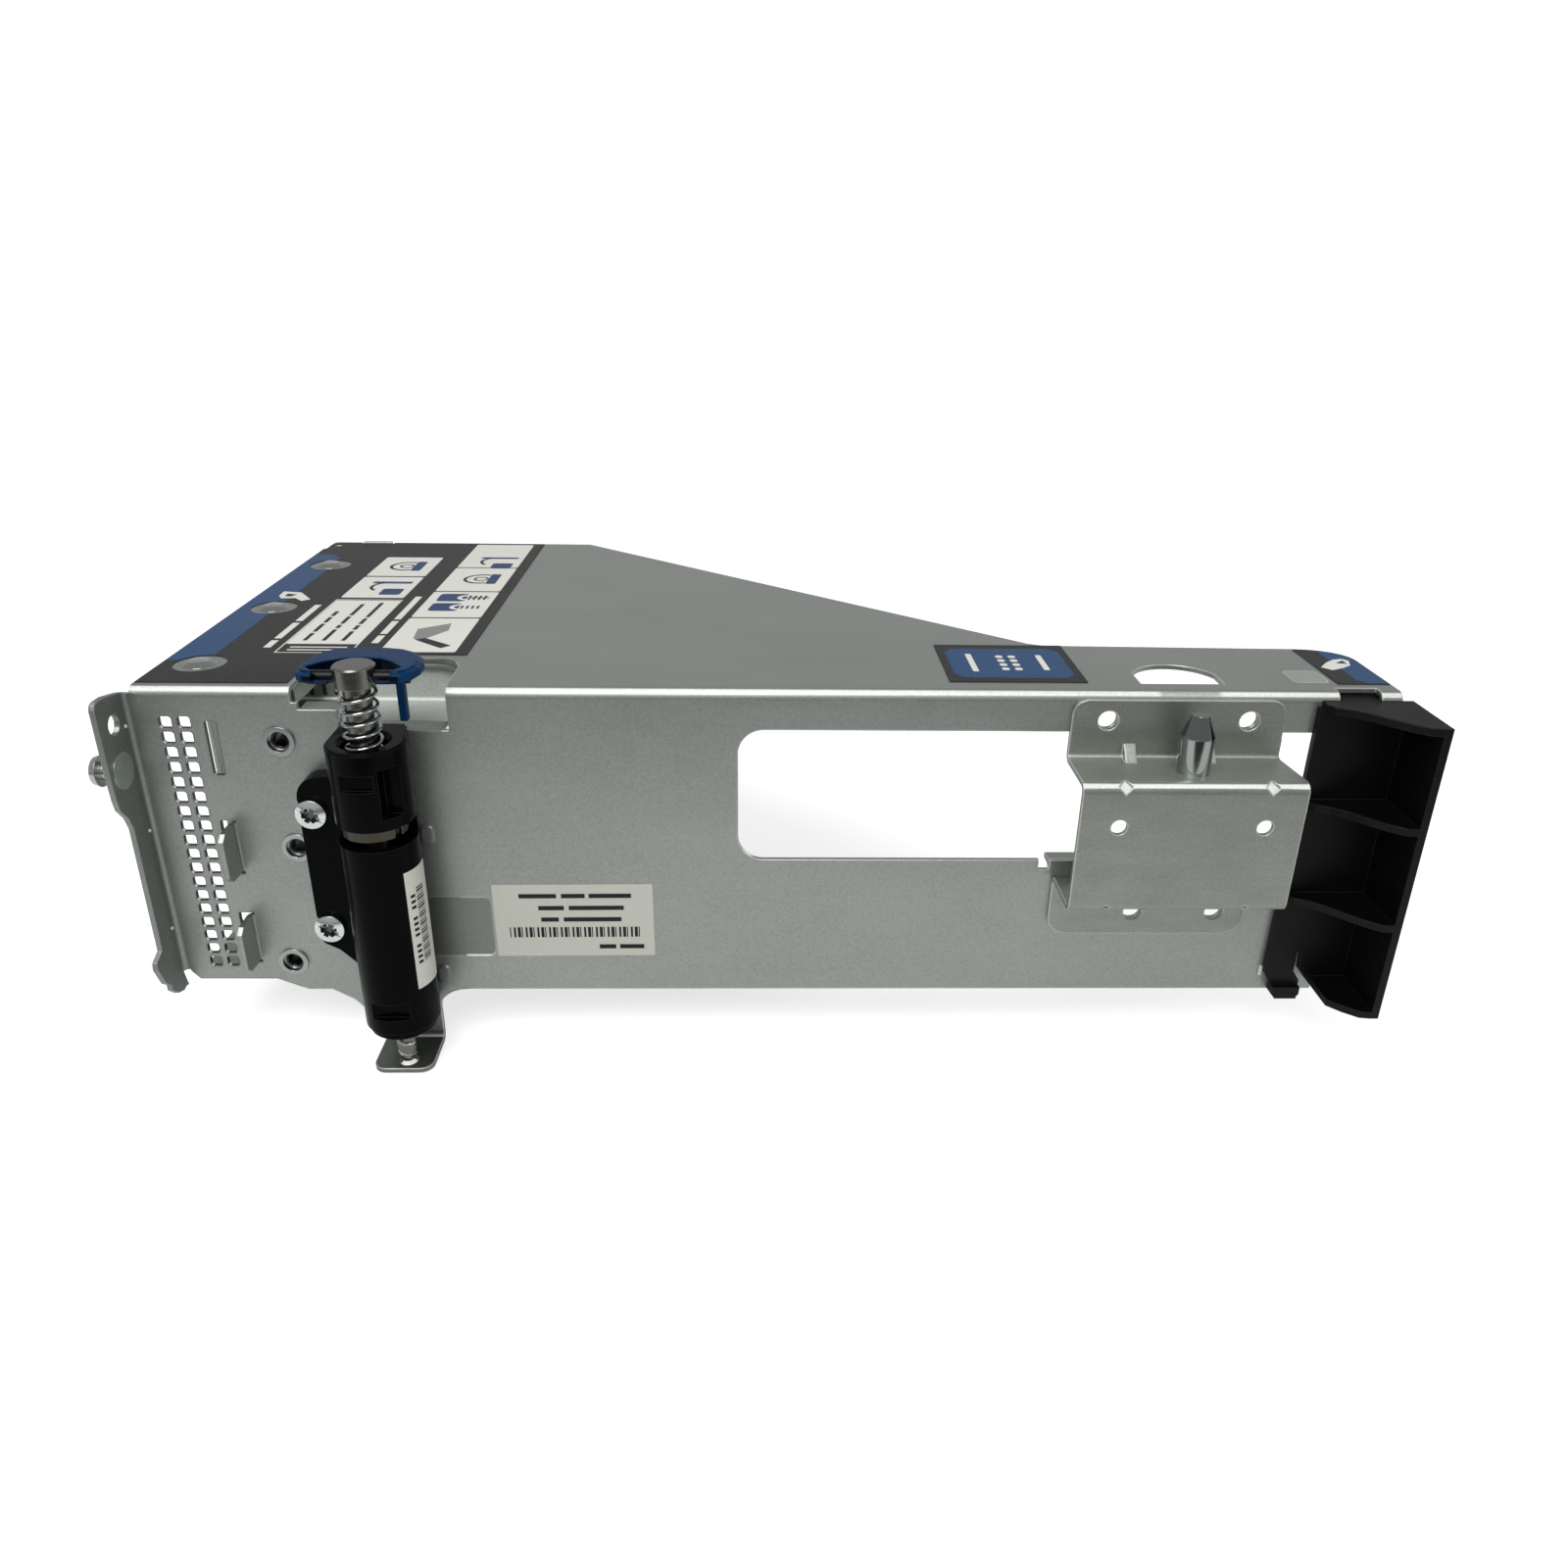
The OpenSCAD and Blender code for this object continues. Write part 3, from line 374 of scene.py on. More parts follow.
coat(
    "cage_shell",
    zinc_coated_sheet(
        "galvanised_sheet",
        paint(161, 166, 161),
        painted_light=wall_painted_light,
        fold_highlight_share=roof_fold_highlight,
        shaded_edges=shaded_cut_edges,
    ),
)


# Three small locating dimples stand along the rear fold, left by the press tool, and a
# narrow tab is lanced out beside the guide's clip.
dimple_x, dimple_y, dimple_radius = -200.85, 6.4, 0.4
dimple_heights = (5.5, -16.4, -38.5)
tab_low, tab_high = (24.5, 6.9, -50.3), (25.2, 7.6, -48.1)


def piece(name, mesh, materials=(), smooth=True):
    """Turns the worked mesh into an object of the scene."""
    bmesh.ops.recalc_face_normals(mesh, faces=mesh.faces)
    data = bpy.data.meshes.new(name)
    mesh.to_mesh(data)
    mesh.free()
    for material in materials:
        data.materials.append(material)
    if smooth:
        data.shade_smooth()
    else:
        data.shade_flat()
    made = bpy.data.objects.new(name, data)
    bpy.context.scene.collection.objects.link(made)
    return made


def add_block(mesh, low, high):
    """A block between two corners, in millimetres."""
    for corner in bmesh.ops.create_cube(mesh, size=1.0)["verts"]:
        corner.co = Vector(high[k] if corner.co[k] > 0 else low[k] for k in range(3)) * MM


def press_tool_marks():
    mesh = bmesh.new()
    for height in dimple_heights:
        dimple = bmesh.ops.create_icosphere(mesh, subdivisions=2, radius=dimple_radius * MM)
        for corner in dimple["verts"]:
            corner.co += Vector((dimple_x, dimple_y, height)) * MM
    add_block(mesh, tab_low, tab_high)
    brightened = zinc_coated_sheet("rubbed_sheet", paint(214, 218, 212), dull=0.4)
    return piece("press_tool_marks", mesh, [brightened], smooth=False)


tool_marks = press_tool_marks()
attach(tool_marks, "cage")

# ---------------------------------------------------------------- welded and riveted sheet
# The slot frame behind the vents, the plate behind the latch notch and the hat-shaped
# bracket are pressed from zinc-coated sheet as well. The plate is blasted pale. The
# bracket is a little duller, and its folds carry pressed darts that stiffen the corners.
coat("rear_slot_frame", zinc_coated_sheet("frame_sheet", paint(164, 169, 164)))
coat("notch_backplate", zinc_coated_sheet("blasted_sheet", paint(206, 210, 204), dull=1.0))


shelf_height = -0.5


def bracket_fold_highlight(zinc):
    """The front fold carries a bright painted highlight, the fold at the wall and the darts' flanks
    less of it.
    """
    at_wall = zinc.y.fade(2.5, 3.5)
    flanks = abs(zinc.facing()[0]).fade(0.08, 0.3)
    return (1.0 - 0.75 * at_wall) * (1.0 - 0.9 * flanks)


def bracket_painted_light(zinc):
    """Painted light: a brighter shelf top, and darts with painted shade on the right flank and a
    painted highlight on the left.
    """
    across, _, upward = zinc.facing()
    shelf = upward.fade(0.95, 0.99) * zinc.z.fade(shelf_height - 0.5, shelf_height)
    slope = upward.fade(0.2, 0.4) * zinc.y.fade(2.0, 1.0)
    return (
        (1.0 + 0.5 * shelf)
        * (1.0 - 0.6 * slope * across.fade(0.1, 0.3))
        * (1.0 + 0.5 * slope * across.fade(-0.1, -0.3))
    )


coat(
    "pin_bracket",
    zinc_coated_sheet(
        "bracket_sheet",
        paint(153, 157, 150),
        painted_light=bracket_painted_light,
        fold_highlight_share=bracket_fold_highlight,
        stain=0.34,
    ),
)


# Beside the latch notch the plate runs on to the left under the roof, bent up at its far
# edge, with three narrow cooling slits in it, drawn as painted shade.
plate_left, plate_right = -179.6, -167.45
plate_front, plate_back = 14.9, 27.35
plate_under, plate_top, plate_thickness = 2.7, 11.9, 1.0
plate_bend = 2.0                         # outside radius of its fold
slits_x, slit_foot, slit_top = (-172.9, -170.3, -167.9), 4.4, 9.4


def on_arc(x, y, radius, angles):
    """Points of an outline round (x, y), at angles in degrees."""
    return [
        (x + radius * math.cos(math.radians(a)), y + radius * math.sin(math.radians(a)))
        for a in angles
    ]


def plate_end():
    """The plate's folded outline in (y, z), drawn out from its left end to its right."""
    middle_y, middle_z = plate_back - plate_bend, plate_under + plate_bend
    outline = [(plate_back - plate_thickness, plate_top), (plate_back, plate_top)]
    outline += on_arc(middle_y, middle_z, plate_bend, range(0, -91, -15))
    outline += [(plate_front, plate_under), (plate_front, plate_under + plate_thickness)]
    outline += on_arc(middle_y, middle_z, plate_bend - plate_thickness, range(-90, 1, 15))
    mesh = bmesh.new()
    left, right = [
        [mesh.verts.new((x * MM, y * MM, z * MM)) for y, z in outline]
        for x in (plate_left, plate_right)
    ]
    for k in range(len(outline)):
        after = (k + 1) % len(outline)
        mesh.faces.new((left[k], left[after], right[after], right[k]))
    mesh.faces.new(list(reversed(left)))
    mesh.faces.new(right)
    slitted = zinc_coated_sheet(
        "slitted_sheet", paint(150, 154, 148), dull=0.6, painted_light=plate_slits
    )
    return piece("notch_plate_end", mesh, [slitted], smooth=False)


def plate_slits(zinc):
    """Painted shade of the three slits, which look into the dark cage."""
    slits = 0.0
    for x in slits_x:
        slits = slits + abs(zinc.x - x).fade(0.5, 0.4)
    return 1.0 - 0.85 * slits * zinc.z.within(slit_foot, slit_top, 0.4)


end_plate = plate_end()
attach(end_plate, "cage")


# ---------------------------------------------------------------- bright fasteners
# The rivets are domed and polished by the riveting tool. The clinched standoffs, the stud
# on the rear flange and the two thread-forming screws are turned or cold-headed steel
# with a clear zinc plating.
def turned_steel(name, tone, roughness, wear=0.1, painted_light=None):
    """painted_light takes the finish and gives the painted shade of bores, rims and recesses."""
    steel = Finish(name)
    fine = steel.grain((4.0, 4.0, 4.0), detail=2.0, roughness=0.5)
    cloud = steel.grain((0.45, 0.45, 0.45), detail=2.0)
    normal, edge = steel.rounded_edges(0.15)
    shade = 1.0 + 0.06 * (fine - 0.5) + 2.0 * wear * (cloud - 0.5)
    # the edges are brightened, partly from rubbing and partly as a painted highlight
    brightened = 0.6 * edge
    if painted_light:
        painted_shading = painted_light(steel)
        shade = shade * painted_shading
        brightened = brightened * painted_shading
    body = steel.shaded(tone, shade)
    return steel.set(
        base_color=steel.blend(brightened, body, paint(232, 234, 230)),
        metallic=1.0,
        roughness=roughness + 0.05 * (fine - 0.5) + wear * (cloud - 0.5),
        normal=steel.bump(fine, 0.04, 0.02, normal),
    )


rivets_x, rivets_y, rivet_pitch = -191.7, 60.4, 39.5     # the middle one, and to the next


def rivet_dome_shade(steel):
    """Painted shade: a dark line round each pressed dome, and a darker ring inside it, leaving the
    dome's middle light.
    """
    from_middle = abs(steel.y - rivets_y)
    along = from_middle.below(abs(from_middle - rivet_pitch))
    away = ((steel.x - rivets_x) ** 2 + along**2) ** 0.5
    return (1.0 - 0.55 * away.fade(3.9, 4.2)) * (1.0 - 0.3 * away.fade(1.7, 2.1))


def round_recess(x, front, z, radius):
    """Painted shade in a bore or recess round (x, z), deeper than the front face."""

    def painted_light(steel):
        away = ((steel.x - x) ** 2 + (steel.z - z) ** 2) ** 0.5
        deep = away.fade(radius, radius - 0.1) * steel.y.fade(front + 0.35, front + 0.6)
        return 1.0 - 0.86 * deep

    return painted_light


coat(
    "frame_rivets",
    turned_steel("riveted_steel", paint(196, 200, 196), 0.10, wear=0.03, painted_light=rivet_dome_shade),
)
coat("flange_stud", turned_steel("zinc_plated_steel", paint(190, 196, 193), 0.24))
standoffs = ("board_standoff_upper", "board_standoff_middle", "board_standoff_lower")
screws = ("housing_screw_upper", "housing_screw_lower")
for fasteners, radius, tone in (
    (standoffs, 1.9, paint(168, 173, 170)),
    (screws, 2.0, paint(226, 232, 230)),
):
    for fastener in fasteners:
        low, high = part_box(fastener)
        middle = (low + high) / 2 / MM
        recess = round_recess(middle.x, low.y / MM, middle.z, radius)
        plated = turned_steel(fastener + "_steel", tone, 0.22, wear=0.06, painted_light=recess)
        coat(fastener, plated)


# ---------------------------------------------------------------- guide pin
# The pin is turned from bar and ground: bright along its straight part and darker on its
# tapered nose, with the faint rings of the lathe. It is pressed into the bracket's shelf
# and staked from below.
nose_start = 7.0


def guide_pin_finish():
    pin = Finish("polished_pin")
    ring = pin.grain((0.1, 0.1, 5.0), detail=2.0)
    haze = pin.grain((0.4, 0.4, 0.2), detail=1.0)
    normal, edge = pin.rounded_edges(0.2)
    nose = pin.z.fade(nose_start, nose_start + 0.6)
    shade = (0.97 + 0.06 * (ring - 0.5) + 0.06 * haze) * (1.0 - 0.45 * nose)
    body = pin.shaded(paint(160, 167, 163), shade)
    # the edges are blended to a painted highlight
    return pin.set(
        base_color=pin.blend(edge * 0.5, body, paint(236, 238, 234)),
        metallic=1.0,
        roughness=0.06 + 0.05 * haze,
        normal=pin.bump(ring, 0.05, 0.02, normal),
    )


coat("guide_pin", guide_pin_finish())


# ---------------------------------------------------------------- black mouldings
# The guide at the card end and the latch housing are moulded in black glass-filled nylon.
# The faces are semi-gloss with a very fine spark-eroded texture, and their sharp edges
# are slightly greyed by a painted highlight.
def black_nylon(name, roughness, tone, gloss):
    nylon = Finish(name)
    skin = nylon.grain((3.5, 3.5, 3.5), detail=3.0, roughness=0.6)
    flow = nylon.grain((0.08, 0.08, 0.05), detail=3.0)
    normal, edge = nylon.rounded_edges(0.3)
    body = nylon.shaded(tone, 0.8 + 0.25 * skin + 0.3 * (flow - 0.5))
    return nylon.set(
        specular_ior_level=gloss,
        base_color=nylon.blend(edge * 0.45, body, paint(44, 46, 48)),
        metallic=0.0,
        roughness=roughness + 0.12 * (skin - 0.5) + 0.10 * (flow - 0.5),
        normal=nylon.bump(skin, 0.10, 0.03, normal),
    )


coat("card_end_guide", black_nylon("black_guide", 0.44, paint(5, 6, 8), 0.2))
coat("latch_housing", black_nylon("black_housing", 0.18, paint(3, 4, 5), 0.05))


# The guide's top tongue runs in under the roof and shuts the gap at the strip's end.
tongue_low, tongue_high, tongue_edge = (29.8, 10.4, 10.1), (39.8, 15.6, 11.7), 0.25


def guide_tongue():
    mesh = bmesh.new()
    add_block(mesh, tongue_low, tongue_high)
    bmesh.ops.bevel(
        mesh,
        geom=list(mesh.edges),
        offset=tongue_edge * MM,
        segments=3,
        affect="EDGES",
        profile=0.5,
    )
    return piece("guide_tongue", mesh, [black_nylon("black_tongue", 0.46, paint(10, 11, 13), 0.16)])


tongue = guide_tongue()
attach(tongue, "cage")

# ---------------------------------------------------------------- latch metalwork
# A sliding collar, a long shaft with a spiral cam at its tip and a push button make up the
# spindle. They are turned steel left duller than the fasteners; the clip and the cross bar
# are blackened.
latch_steel = turned_steel("latch_steel", paint(120, 121, 117), 0.26, wear=0.16)
for turned in ("latch_shaft", "latch_button"):
    coat(turned, latch_steel)
coat("latch_collar", turned_steel("oiled_collar", paint(80, 78, 68), 0.34, wear=0.3))


def blackened_steel():
    black = Finish("blackened_steel")
    film = black.grain((1.6, 1.6, 1.6), detail=2.0)
    normal, edge = black.rounded_edges(0.15)
    body = black.shaded(paint(9, 9, 10), 0.8 + 0.4 * film)
    # the edges are blended to a painted highlight
    return black.set(
        base_color=black.blend(edge * 0.3, body, paint(70, 72, 74)),
        metallic=0.5,
        roughness=0.24 + 0.12 * film,
        normal=black.bump(film, 0.08, 0.02, normal),
    )


oiled = blackened_steel()
coat("shaft_clip", oiled)
coat("handle_bar", oiled)


# ---------------------------------------------------------------- coil spring
# The spring is wound from bright 0.7 mm wire with its end turns closed down, and it sits
# between the floor of the housing's bore and the underside of the button.
wire_radius, spring_turns, spring_steps = 0.35, 10.5, 36
spring_clearance = 0.15                  # keeps the coil clear of the folded bail's lips
spring_start = 0.6                       # where round the bore it begins, in radians
end_closing = 0.045                      # share of its length by which an end turn closes


def wire_tube(name, path, radius, finish, sides=12):
    """A closed round tube along a path of points."""
    mesh = bmesh.new()
    rings = []
    for index, point in enumerate(path):
        ahead = path[min(index + 1, len(path) - 1)]
        behind = path[max(index - 1, 0)]
        along = (ahead - behind).normalized()
        across = along.cross(Vector((0, 0, 1))).normalized()
        up = across.cross(along).normalized()
        turns = [2 * math.pi * k / sides for k in range(sides)]
        rings.append(
            [
                mesh.verts.new(point + radius * math.cos(a) * across + radius * math.sin(a) * up)
                for a in turns
            ]
        )
    for first, second in zip(rings, rings[1:]):
        for k in range(sides):
            after = (k + 1) % sides
            mesh.faces.new((first[k], first[after], second[after], second[k]))
    mesh.faces.new(list(reversed(rings[0])))
    mesh.faces.new(rings[-1])
    return piece(name, mesh, [finish])


def on_circle(middle, radius, angle, height):
    return Vector(
        (middle.x + radius * math.cos(angle), middle.y + radius * math.sin(angle), height)
    )


def coil_spring(finish):
    low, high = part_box("latch_spring")
    wire = wire_radius * MM
    middle = (low + high) / 2
    radius = (high.x - low.x) / 2 - wire - spring_clearance * MM
    start, rise = low.z + wire, high.z - low.z - 2 * wire
    path = []
    for i in range(int(spring_turns * spring_steps) + 1):
        turn = i / spring_steps
        ends = min(turn, spring_turns - turn, 1.0)
        share = turn / spring_turns
        closed = 0.5 * (1 - math.cos(math.pi * ends))
        height = share + (end_closing * (1 - closed)) * (-1 if share < 0.5 else 1) * ends
        angle = 2 * math.pi * turn + spring_start
        path.append(on_circle(middle, radius, angle, start + rise * min(max(height, 0.0), 1.0)))
    return wire_tube("latch_spring_wire", path, wire, finish)


spring = coil_spring(turned_steel("spring_wire", paint(176, 180, 178), 0.09, wear=0.03))
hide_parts("latch_spring")
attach(spring, "cage")
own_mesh(spring)


# The shaft's tip carries a bright raised spiral, the cam that draws the latch down when
# the button is turned. It is cut on the shaft's end and turns with it.
cam_top, cam_bottom, cam_turns, cam_steps = -57.4, -64.0, 2.6, 96
cam_run_in, cam_radius, cam_ridge = 1.25, 1.5, 0.42
cam_start = 0.42                         # where round the shaft it begins, in turns


def tip_spiral(finish):
    low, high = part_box("latch_shaft")
    middle = (low + high) / 2
    path = []
    for k in range(cam_steps + 1):
        share = k / cam_steps
        angle = 2 * math.pi * (cam_turns * share + cam_start)
        swell = cam_run_in + (cam_radius - cam_run_in) * min(1.0, 4 * share)
        height = cam_top + (cam_bottom - cam_top) * share
        path.append(on_circle(middle, swell * MM, angle, height * MM))
    return wire_tube("shaft_tip_spiral", path, cam_ridge * MM, finish)


spiral = tip_spiral(turned_steel("cam_steel", paint(214, 216, 208), 0.12, wear=0.04))
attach(spiral, "spindle")


# ---------------------------------------------------------------- blue bail handle
# The bail is moulded in blue glass-filled nylon: a thick rounded plate with an eye round
# the button, two hooks that snap over the cross bar and one locking leg at the right.
eye_half_width, eye_half_depth = 9.4, 6.5


def blue_nylon():
    blue = Finish("blue_bail")
    skin = blue.grain((2.5, 2.5, 2.5), detail=3.0, roughness=0.6)
    flow = blue.grain((0.25, 0.25, 0.25), detail=2.0)
    low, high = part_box("latch_button")
    middle = (low + high) / 2 / MM
    across = (blue.x - middle.x) / eye_half_width
    behind = (blue.y - middle.y) / eye_half_depth
    reach = (across**2 + behind**2) ** 0.5
    # painted shade on the eye's inner walls round the button
    eye_wall_shade = reach.fade(1.02, 0.98) * abs(blue.facing()[2]).fade(0.75, 0.5)
    shade = 0.90 + 0.12 * skin + 0.16 * (flow - 0.5)
    body = blue.shaded(paint(4, 49, 90), shade * (1.0 - 0.9 * eye_wall_shade))
    return blue.set(
        specular_ior_level=0.10,
        base_color=body,
        roughness=0.36 + 0.10 * (skin - 0.5),
        normal=blue.bump(skin, 0.12, 0.03),
    )


def moulded_copy(name, node, finish, voxel, passes, low, high):
    """The CAD node's shape with the soft edges of a moulding, cut clear from low to high."""
    made = bpy.data.objects.new(name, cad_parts[node].data.copy())
    bpy.context.scene.collection.objects.link(made)
    block = bmesh.new()
    add_block(block, low, high)
    clear = piece("clear", block)
    cut = made.modifiers.new("cut", "BOOLEAN")
    cut.operation = "DIFFERENCE"
    cut.object = clear
    remesh = made.modifiers.new("even", "REMESH")
    remesh.mode = "VOXEL"
    remesh.voxel_size = voxel * MM
    soften = made.modifiers.new("soften", "SMOOTH")
    soften.factor = 0.5
    soften.iterations = passes
    graph = bpy.context.evaluated_depsgraph_get()
    final = bpy.data.meshes.new_from_object(made.evaluated_get(graph))
    made.modifiers.clear()
    bpy.data.objects.remove(clear)
    made.data = final
    final.materials.clear()
    final.materials.append(finish)
    final.shade_smooth()
    return made


# the lips in front of the bar stop short of the spring, which they pass when folded up
lips_low, lips_high = (-158.4, -5.5, 16.4), (-150.2, -1.0, 21.0)
bail = moulded_copy(
    "latch_handle_moulded",
    "latch_handle",
    blue_nylon(),
    voxel=0.16,
    passes=8,
    low=lips_low,
    high=lips_high,
)
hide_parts("latch_handle")
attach(bail, "handle")


# ---------------------------------------------------------------- instruction sheet
# A printed polyester sheet is stuck to the rear of the roof, cut round the rivets and the
# latch notch. It is charcoal with a blue band along the edge, and its white panels hold
# simple line drawings in blue and black.
def printed_film(name, tone, roughness):
    film = Finish(name)
    fibre = film.grain((1.2, 1.2, 1.2), detail=2.0)
    wave = film.grain((0.06, 0.06, 0.06), detail=2.0)
    body = film.shaded(tone, 0.94 + 0.08 * fibre + 0.06 * (wave - 0.5))
    return film.set(
        specular_ior_level=0.14,
        base_color=body,
        roughness=roughness + 0.08 * (fibre - 0.5) + 0.06 * (wave - 0.5),
        normal=film.bump(fibre + wave, 0.05, 0.04),
    )


charcoal = printed_film("charcoal_print", paint(40, 41, 40), 0.42)
band_blue = printed_film("blue_print", paint(38, 74, 116), 0.40)
panel_white = printed_film("white_print", paint(232, 232, 224), 0.45)
line_black = printed_film("black_ink", paint(34, 36, 38), 0.42)
picture_blue = printed_film("picture_blue", paint(36, 66, 108), 0.40)
picture_grey = printed_film("picture_grey", paint(140, 142, 140), 0.42)
coat("instruction_label", charcoal)


class Print:
    """Thin closed layers of ink laid on a face: origin, two directions and the outward one."""

    def __init__(self, origin, across, up, out):
        self.origin, self.across, self.up, self.out = origin, across, up, out
        self.mesh = bmesh.new()
        self.inks = []

    def at(self, x, y, z):
        return self.origin + (x * self.across + y * self.up + z * self.out) * MM

    def lay(self, ink, outline, level=1):
        """One closed shape of ink; a higher level lies over a lower one."""
        if ink not in self.inks:
            self.inks.append(ink)
        low, high = 0.0, 0.02 * level
        bottom = [self.mesh.verts.new(self.at(x, y, low)) for x, y in outline]
        top = [self.mesh.verts.new(self.at(x, y, high)) for x, y in outline]
        faces = [self.mesh.faces.new(top), self.mesh.faces.new(list(reversed(bottom)))]
        for k in range(len(outline)):
            after = (k + 1) % len(outline)
            faces.append(self.mesh.faces.new((bottom[k], bottom[after], top[after], top[k])))
        for face in faces:
            face.material_index = self.inks.index(ink)

    def block(self, ink, x0, y0, x1, y1, level=1, corner=0.0):
        if not corner:
            outline = [(x0, y0), (x1, y0), (x1, y1), (x0, y1)]
        else:
            outline = []
            for corner_x, corner_y, start in (
                (x1 - corner, y0 + corner, -90),
                (x1 - corner, y1 - corner, 0),
                (x0 + corner, y1 - corner, 90),
                (x0 + corner, y0 + corner, 180),
            ):
                outline += on_arc(corner_x, corner_y, corner, range(start, start + 91, 30))
        self.lay(ink, outline, level)

    def arc(self, ink, x, y, radius, width, start, end, level=2):
        """A curved band, angles in degrees."""
        count = max(4, int(abs(end - start) / 15))
        angles = [start + (end - start) * k / count for k in range(count + 1)]
        outer = on_arc(x, y, radius, angles)
        inner = on_arc(x, y, radius - width, reversed(angles))
        self.lay(ink, outer + inner, level)

    def finish(self, name, slot):
        made = piece(name, self.mesh, self.inks, smooth=False)
        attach(made, "cage")


def print_on_top(node, aside=0.0, along=0.0):
    """A print on a label's upper face, measured from near its lower left corner."""
    low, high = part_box(node)
    corner = Vector((low.x + aside * MM, low.y + along * MM, high.z))
    return Print(corner, Vector((1, 0, 0)), Vector((0, 1, 0)), Vector((0, 0, 1)))


sheet_print = print_on_top("instruction_label", -0.3, -2.4)


# the blue band along the rear edge, with a round bite beside each rivet
rivet_bite = 5.1
band = [(0.4, 15.2), (3.2, 15.2)]
band += on_arc(7.8, 13.4, rivet_bite, range(155, 80, -15))
band += [(8.6, 18.6), (8.6, 47.7)]
band += on_arc(7.8, 52.9, rivet_bite, range(280, 75, -15))
band += [(8.6, 58.1), (8.6, 87.1)]
band += on_arc(7.8, 92.4, rivet_bite, range(280, 90, -15))
band += [(8.2, 97.8), (8.2, 99.0), (5.2, 103.4), (0.4, 104.0)]
sheet_print.lay(band_blue, band)

# two rows of white panels: the row by the band starts beyond the text box
row_by_band, row_by_roof = (20.0, 34.6), (40.4, 55.8)
for (x0, x1), ends in (
    (row_by_band, ((61.6, 80.6), (81.6, 101.0))),
    (row_by_roof, ((21.2, 45.2), (46.0, 67.2), (68.0, 90.2), (91.0, 116.2))),
):
    for y0, y1 in ends:
        sheet_print.block(panel_white, x0, y0, x1, y1, corner=0.6)

# text box: a white field in a thin white frame, with short rules for its lines
sheet_print.block(panel_white, 20.0, 26.2, 34.6, 59.2, corner=0.4)
frame_x0, frame_x1, frame_y0, frame_y1, frame_line = 19.6, 34.9, 20.3, 60.0, 0.3
for x0, y0, x1, y1 in (
    (frame_x0, frame_y0, frame_x1, frame_y0 + frame_line),
    (frame_x0, frame_y0 + frame_line, frame_x0 + frame_line, frame_y1),
    (frame_x1 - frame_line, frame_y0 + frame_line, frame_x1, frame_y1),
    (frame_x0 + frame_line, frame_y1 - frame_line, frame_x1 - frame_line, frame_y1),
):
    sheet_print.block(panel_white, x0, y0, x1, y1)


def rules(ink, x, parts, half_width, level=1):
    """One broken line of text, drawn as plain rules."""
    for y0, y1 in parts:
        sheet_print.block(ink, x - half_width, y0, x + half_width, y1, level=level)


for x, parts in (
    (23.0, ((28.4, 33.6), (34.6, 40.4), (41.4, 45.4), (46.4, 50.0))),
    (26.9, ((28.4, 36.2), (37.2, 39.6), (40.6, 46.0), (47.0, 56.0))),
    (30.9, ((28.4, 35.0), (36.2, 39.4), (40.4, 44.6), (45.6, 57.2))),
):
    rules(line_black, x, parts, 0.45, level=2)
for x, parts in (
    (17.0, ((23.6, 28.4), (29.8, 41.0), (42.4, 55.2))),
    (37.9, ((27.0, 32.2), (33.4, 42.8), (44.2, 62.8))),
):
    rules(panel_white, x, parts, 0.75)
for y in (22.2, 24.0):
    sheet_print.block(panel_white, 21.6, y - 0.3, 33.2, y + 0.3)


def draw_bail(x, y):
    """The bail seen from above round its button, with its leg beside it."""
    sheet_print.arc(line_black, x - 0.6, y, 4.4, 0.8, 65, 295)
    sheet_print.arc(line_black, x - 0.6, y, 1.9, 0.6, 0, 345)
    sheet_print.block(picture_blue, x + 1.2, y - 4.6, x + 3.6, y + 4.6, level=3, corner=0.5)


def draw_lever(x0, y0, x1, y1):
    """A box with its lever swung out in front of it."""
    sheet_print.block(picture_blue, x0, y0 + 2.6, x1, y1 - 0.8, level=2, corner=0.6)
    sheet_print.arc(line_black, x0 + 5.0, y0 - 0.4, 4.6, 0.8, 120, 230, level=2)
    sheet_print.block(
        picture_blue, x0 + 4.2, y0 - 7.6, x1 - 0.4, y0 - 2.2, level=2, corner=0.8
    )


def draw_plunger(y, half_width):
    """A plunger in its holder, with four lines for its spring."""
    sheet_print.block(picture_blue, 42.6, y - 3.2, 49.2, y + 3.2, level=2, corner=1.0)
    sheet_print.arc(panel_white, 49.2, y, 2.2, 1.0, 90, 270, level=3)
    for k in range(4):
        x = 49.6 + 1.2 * k
        sheet_print.block(line_black, x, y - half_width, x + 0.5, y + half_width, level=2)


draw_bail(28.2, 91.6)
draw_bail(49.6, 79.4)
draw_lever(23.6, 71.8, 33.2, 77.0)
draw_lever(44.6, 97.6, 54.4, 102.6)
draw_plunger(54.2, 1.2)
draw_plunger(62.2, 1.8)
sheet_print.block(line_black, 49.6, 61.9, 54.4, 62.5, level=3)

# a cage lifted by its corner, in grey with a black edge
cage_drawing = [(44.2, 37.0), (50.4, 41.4), (51.0, 36.2), (47.6, 30.4)]
cage_drawing += [(53.6, 25.4), (52.4, 24.2), (45.0, 30.2)]
sheet_print.lay(picture_grey, cage_drawing, 2)
sheet_print.lay(line_black, [(47.4, 30.6), (53.9, 25.6), (52.2, 23.8), (45.6, 29.4)], 3)

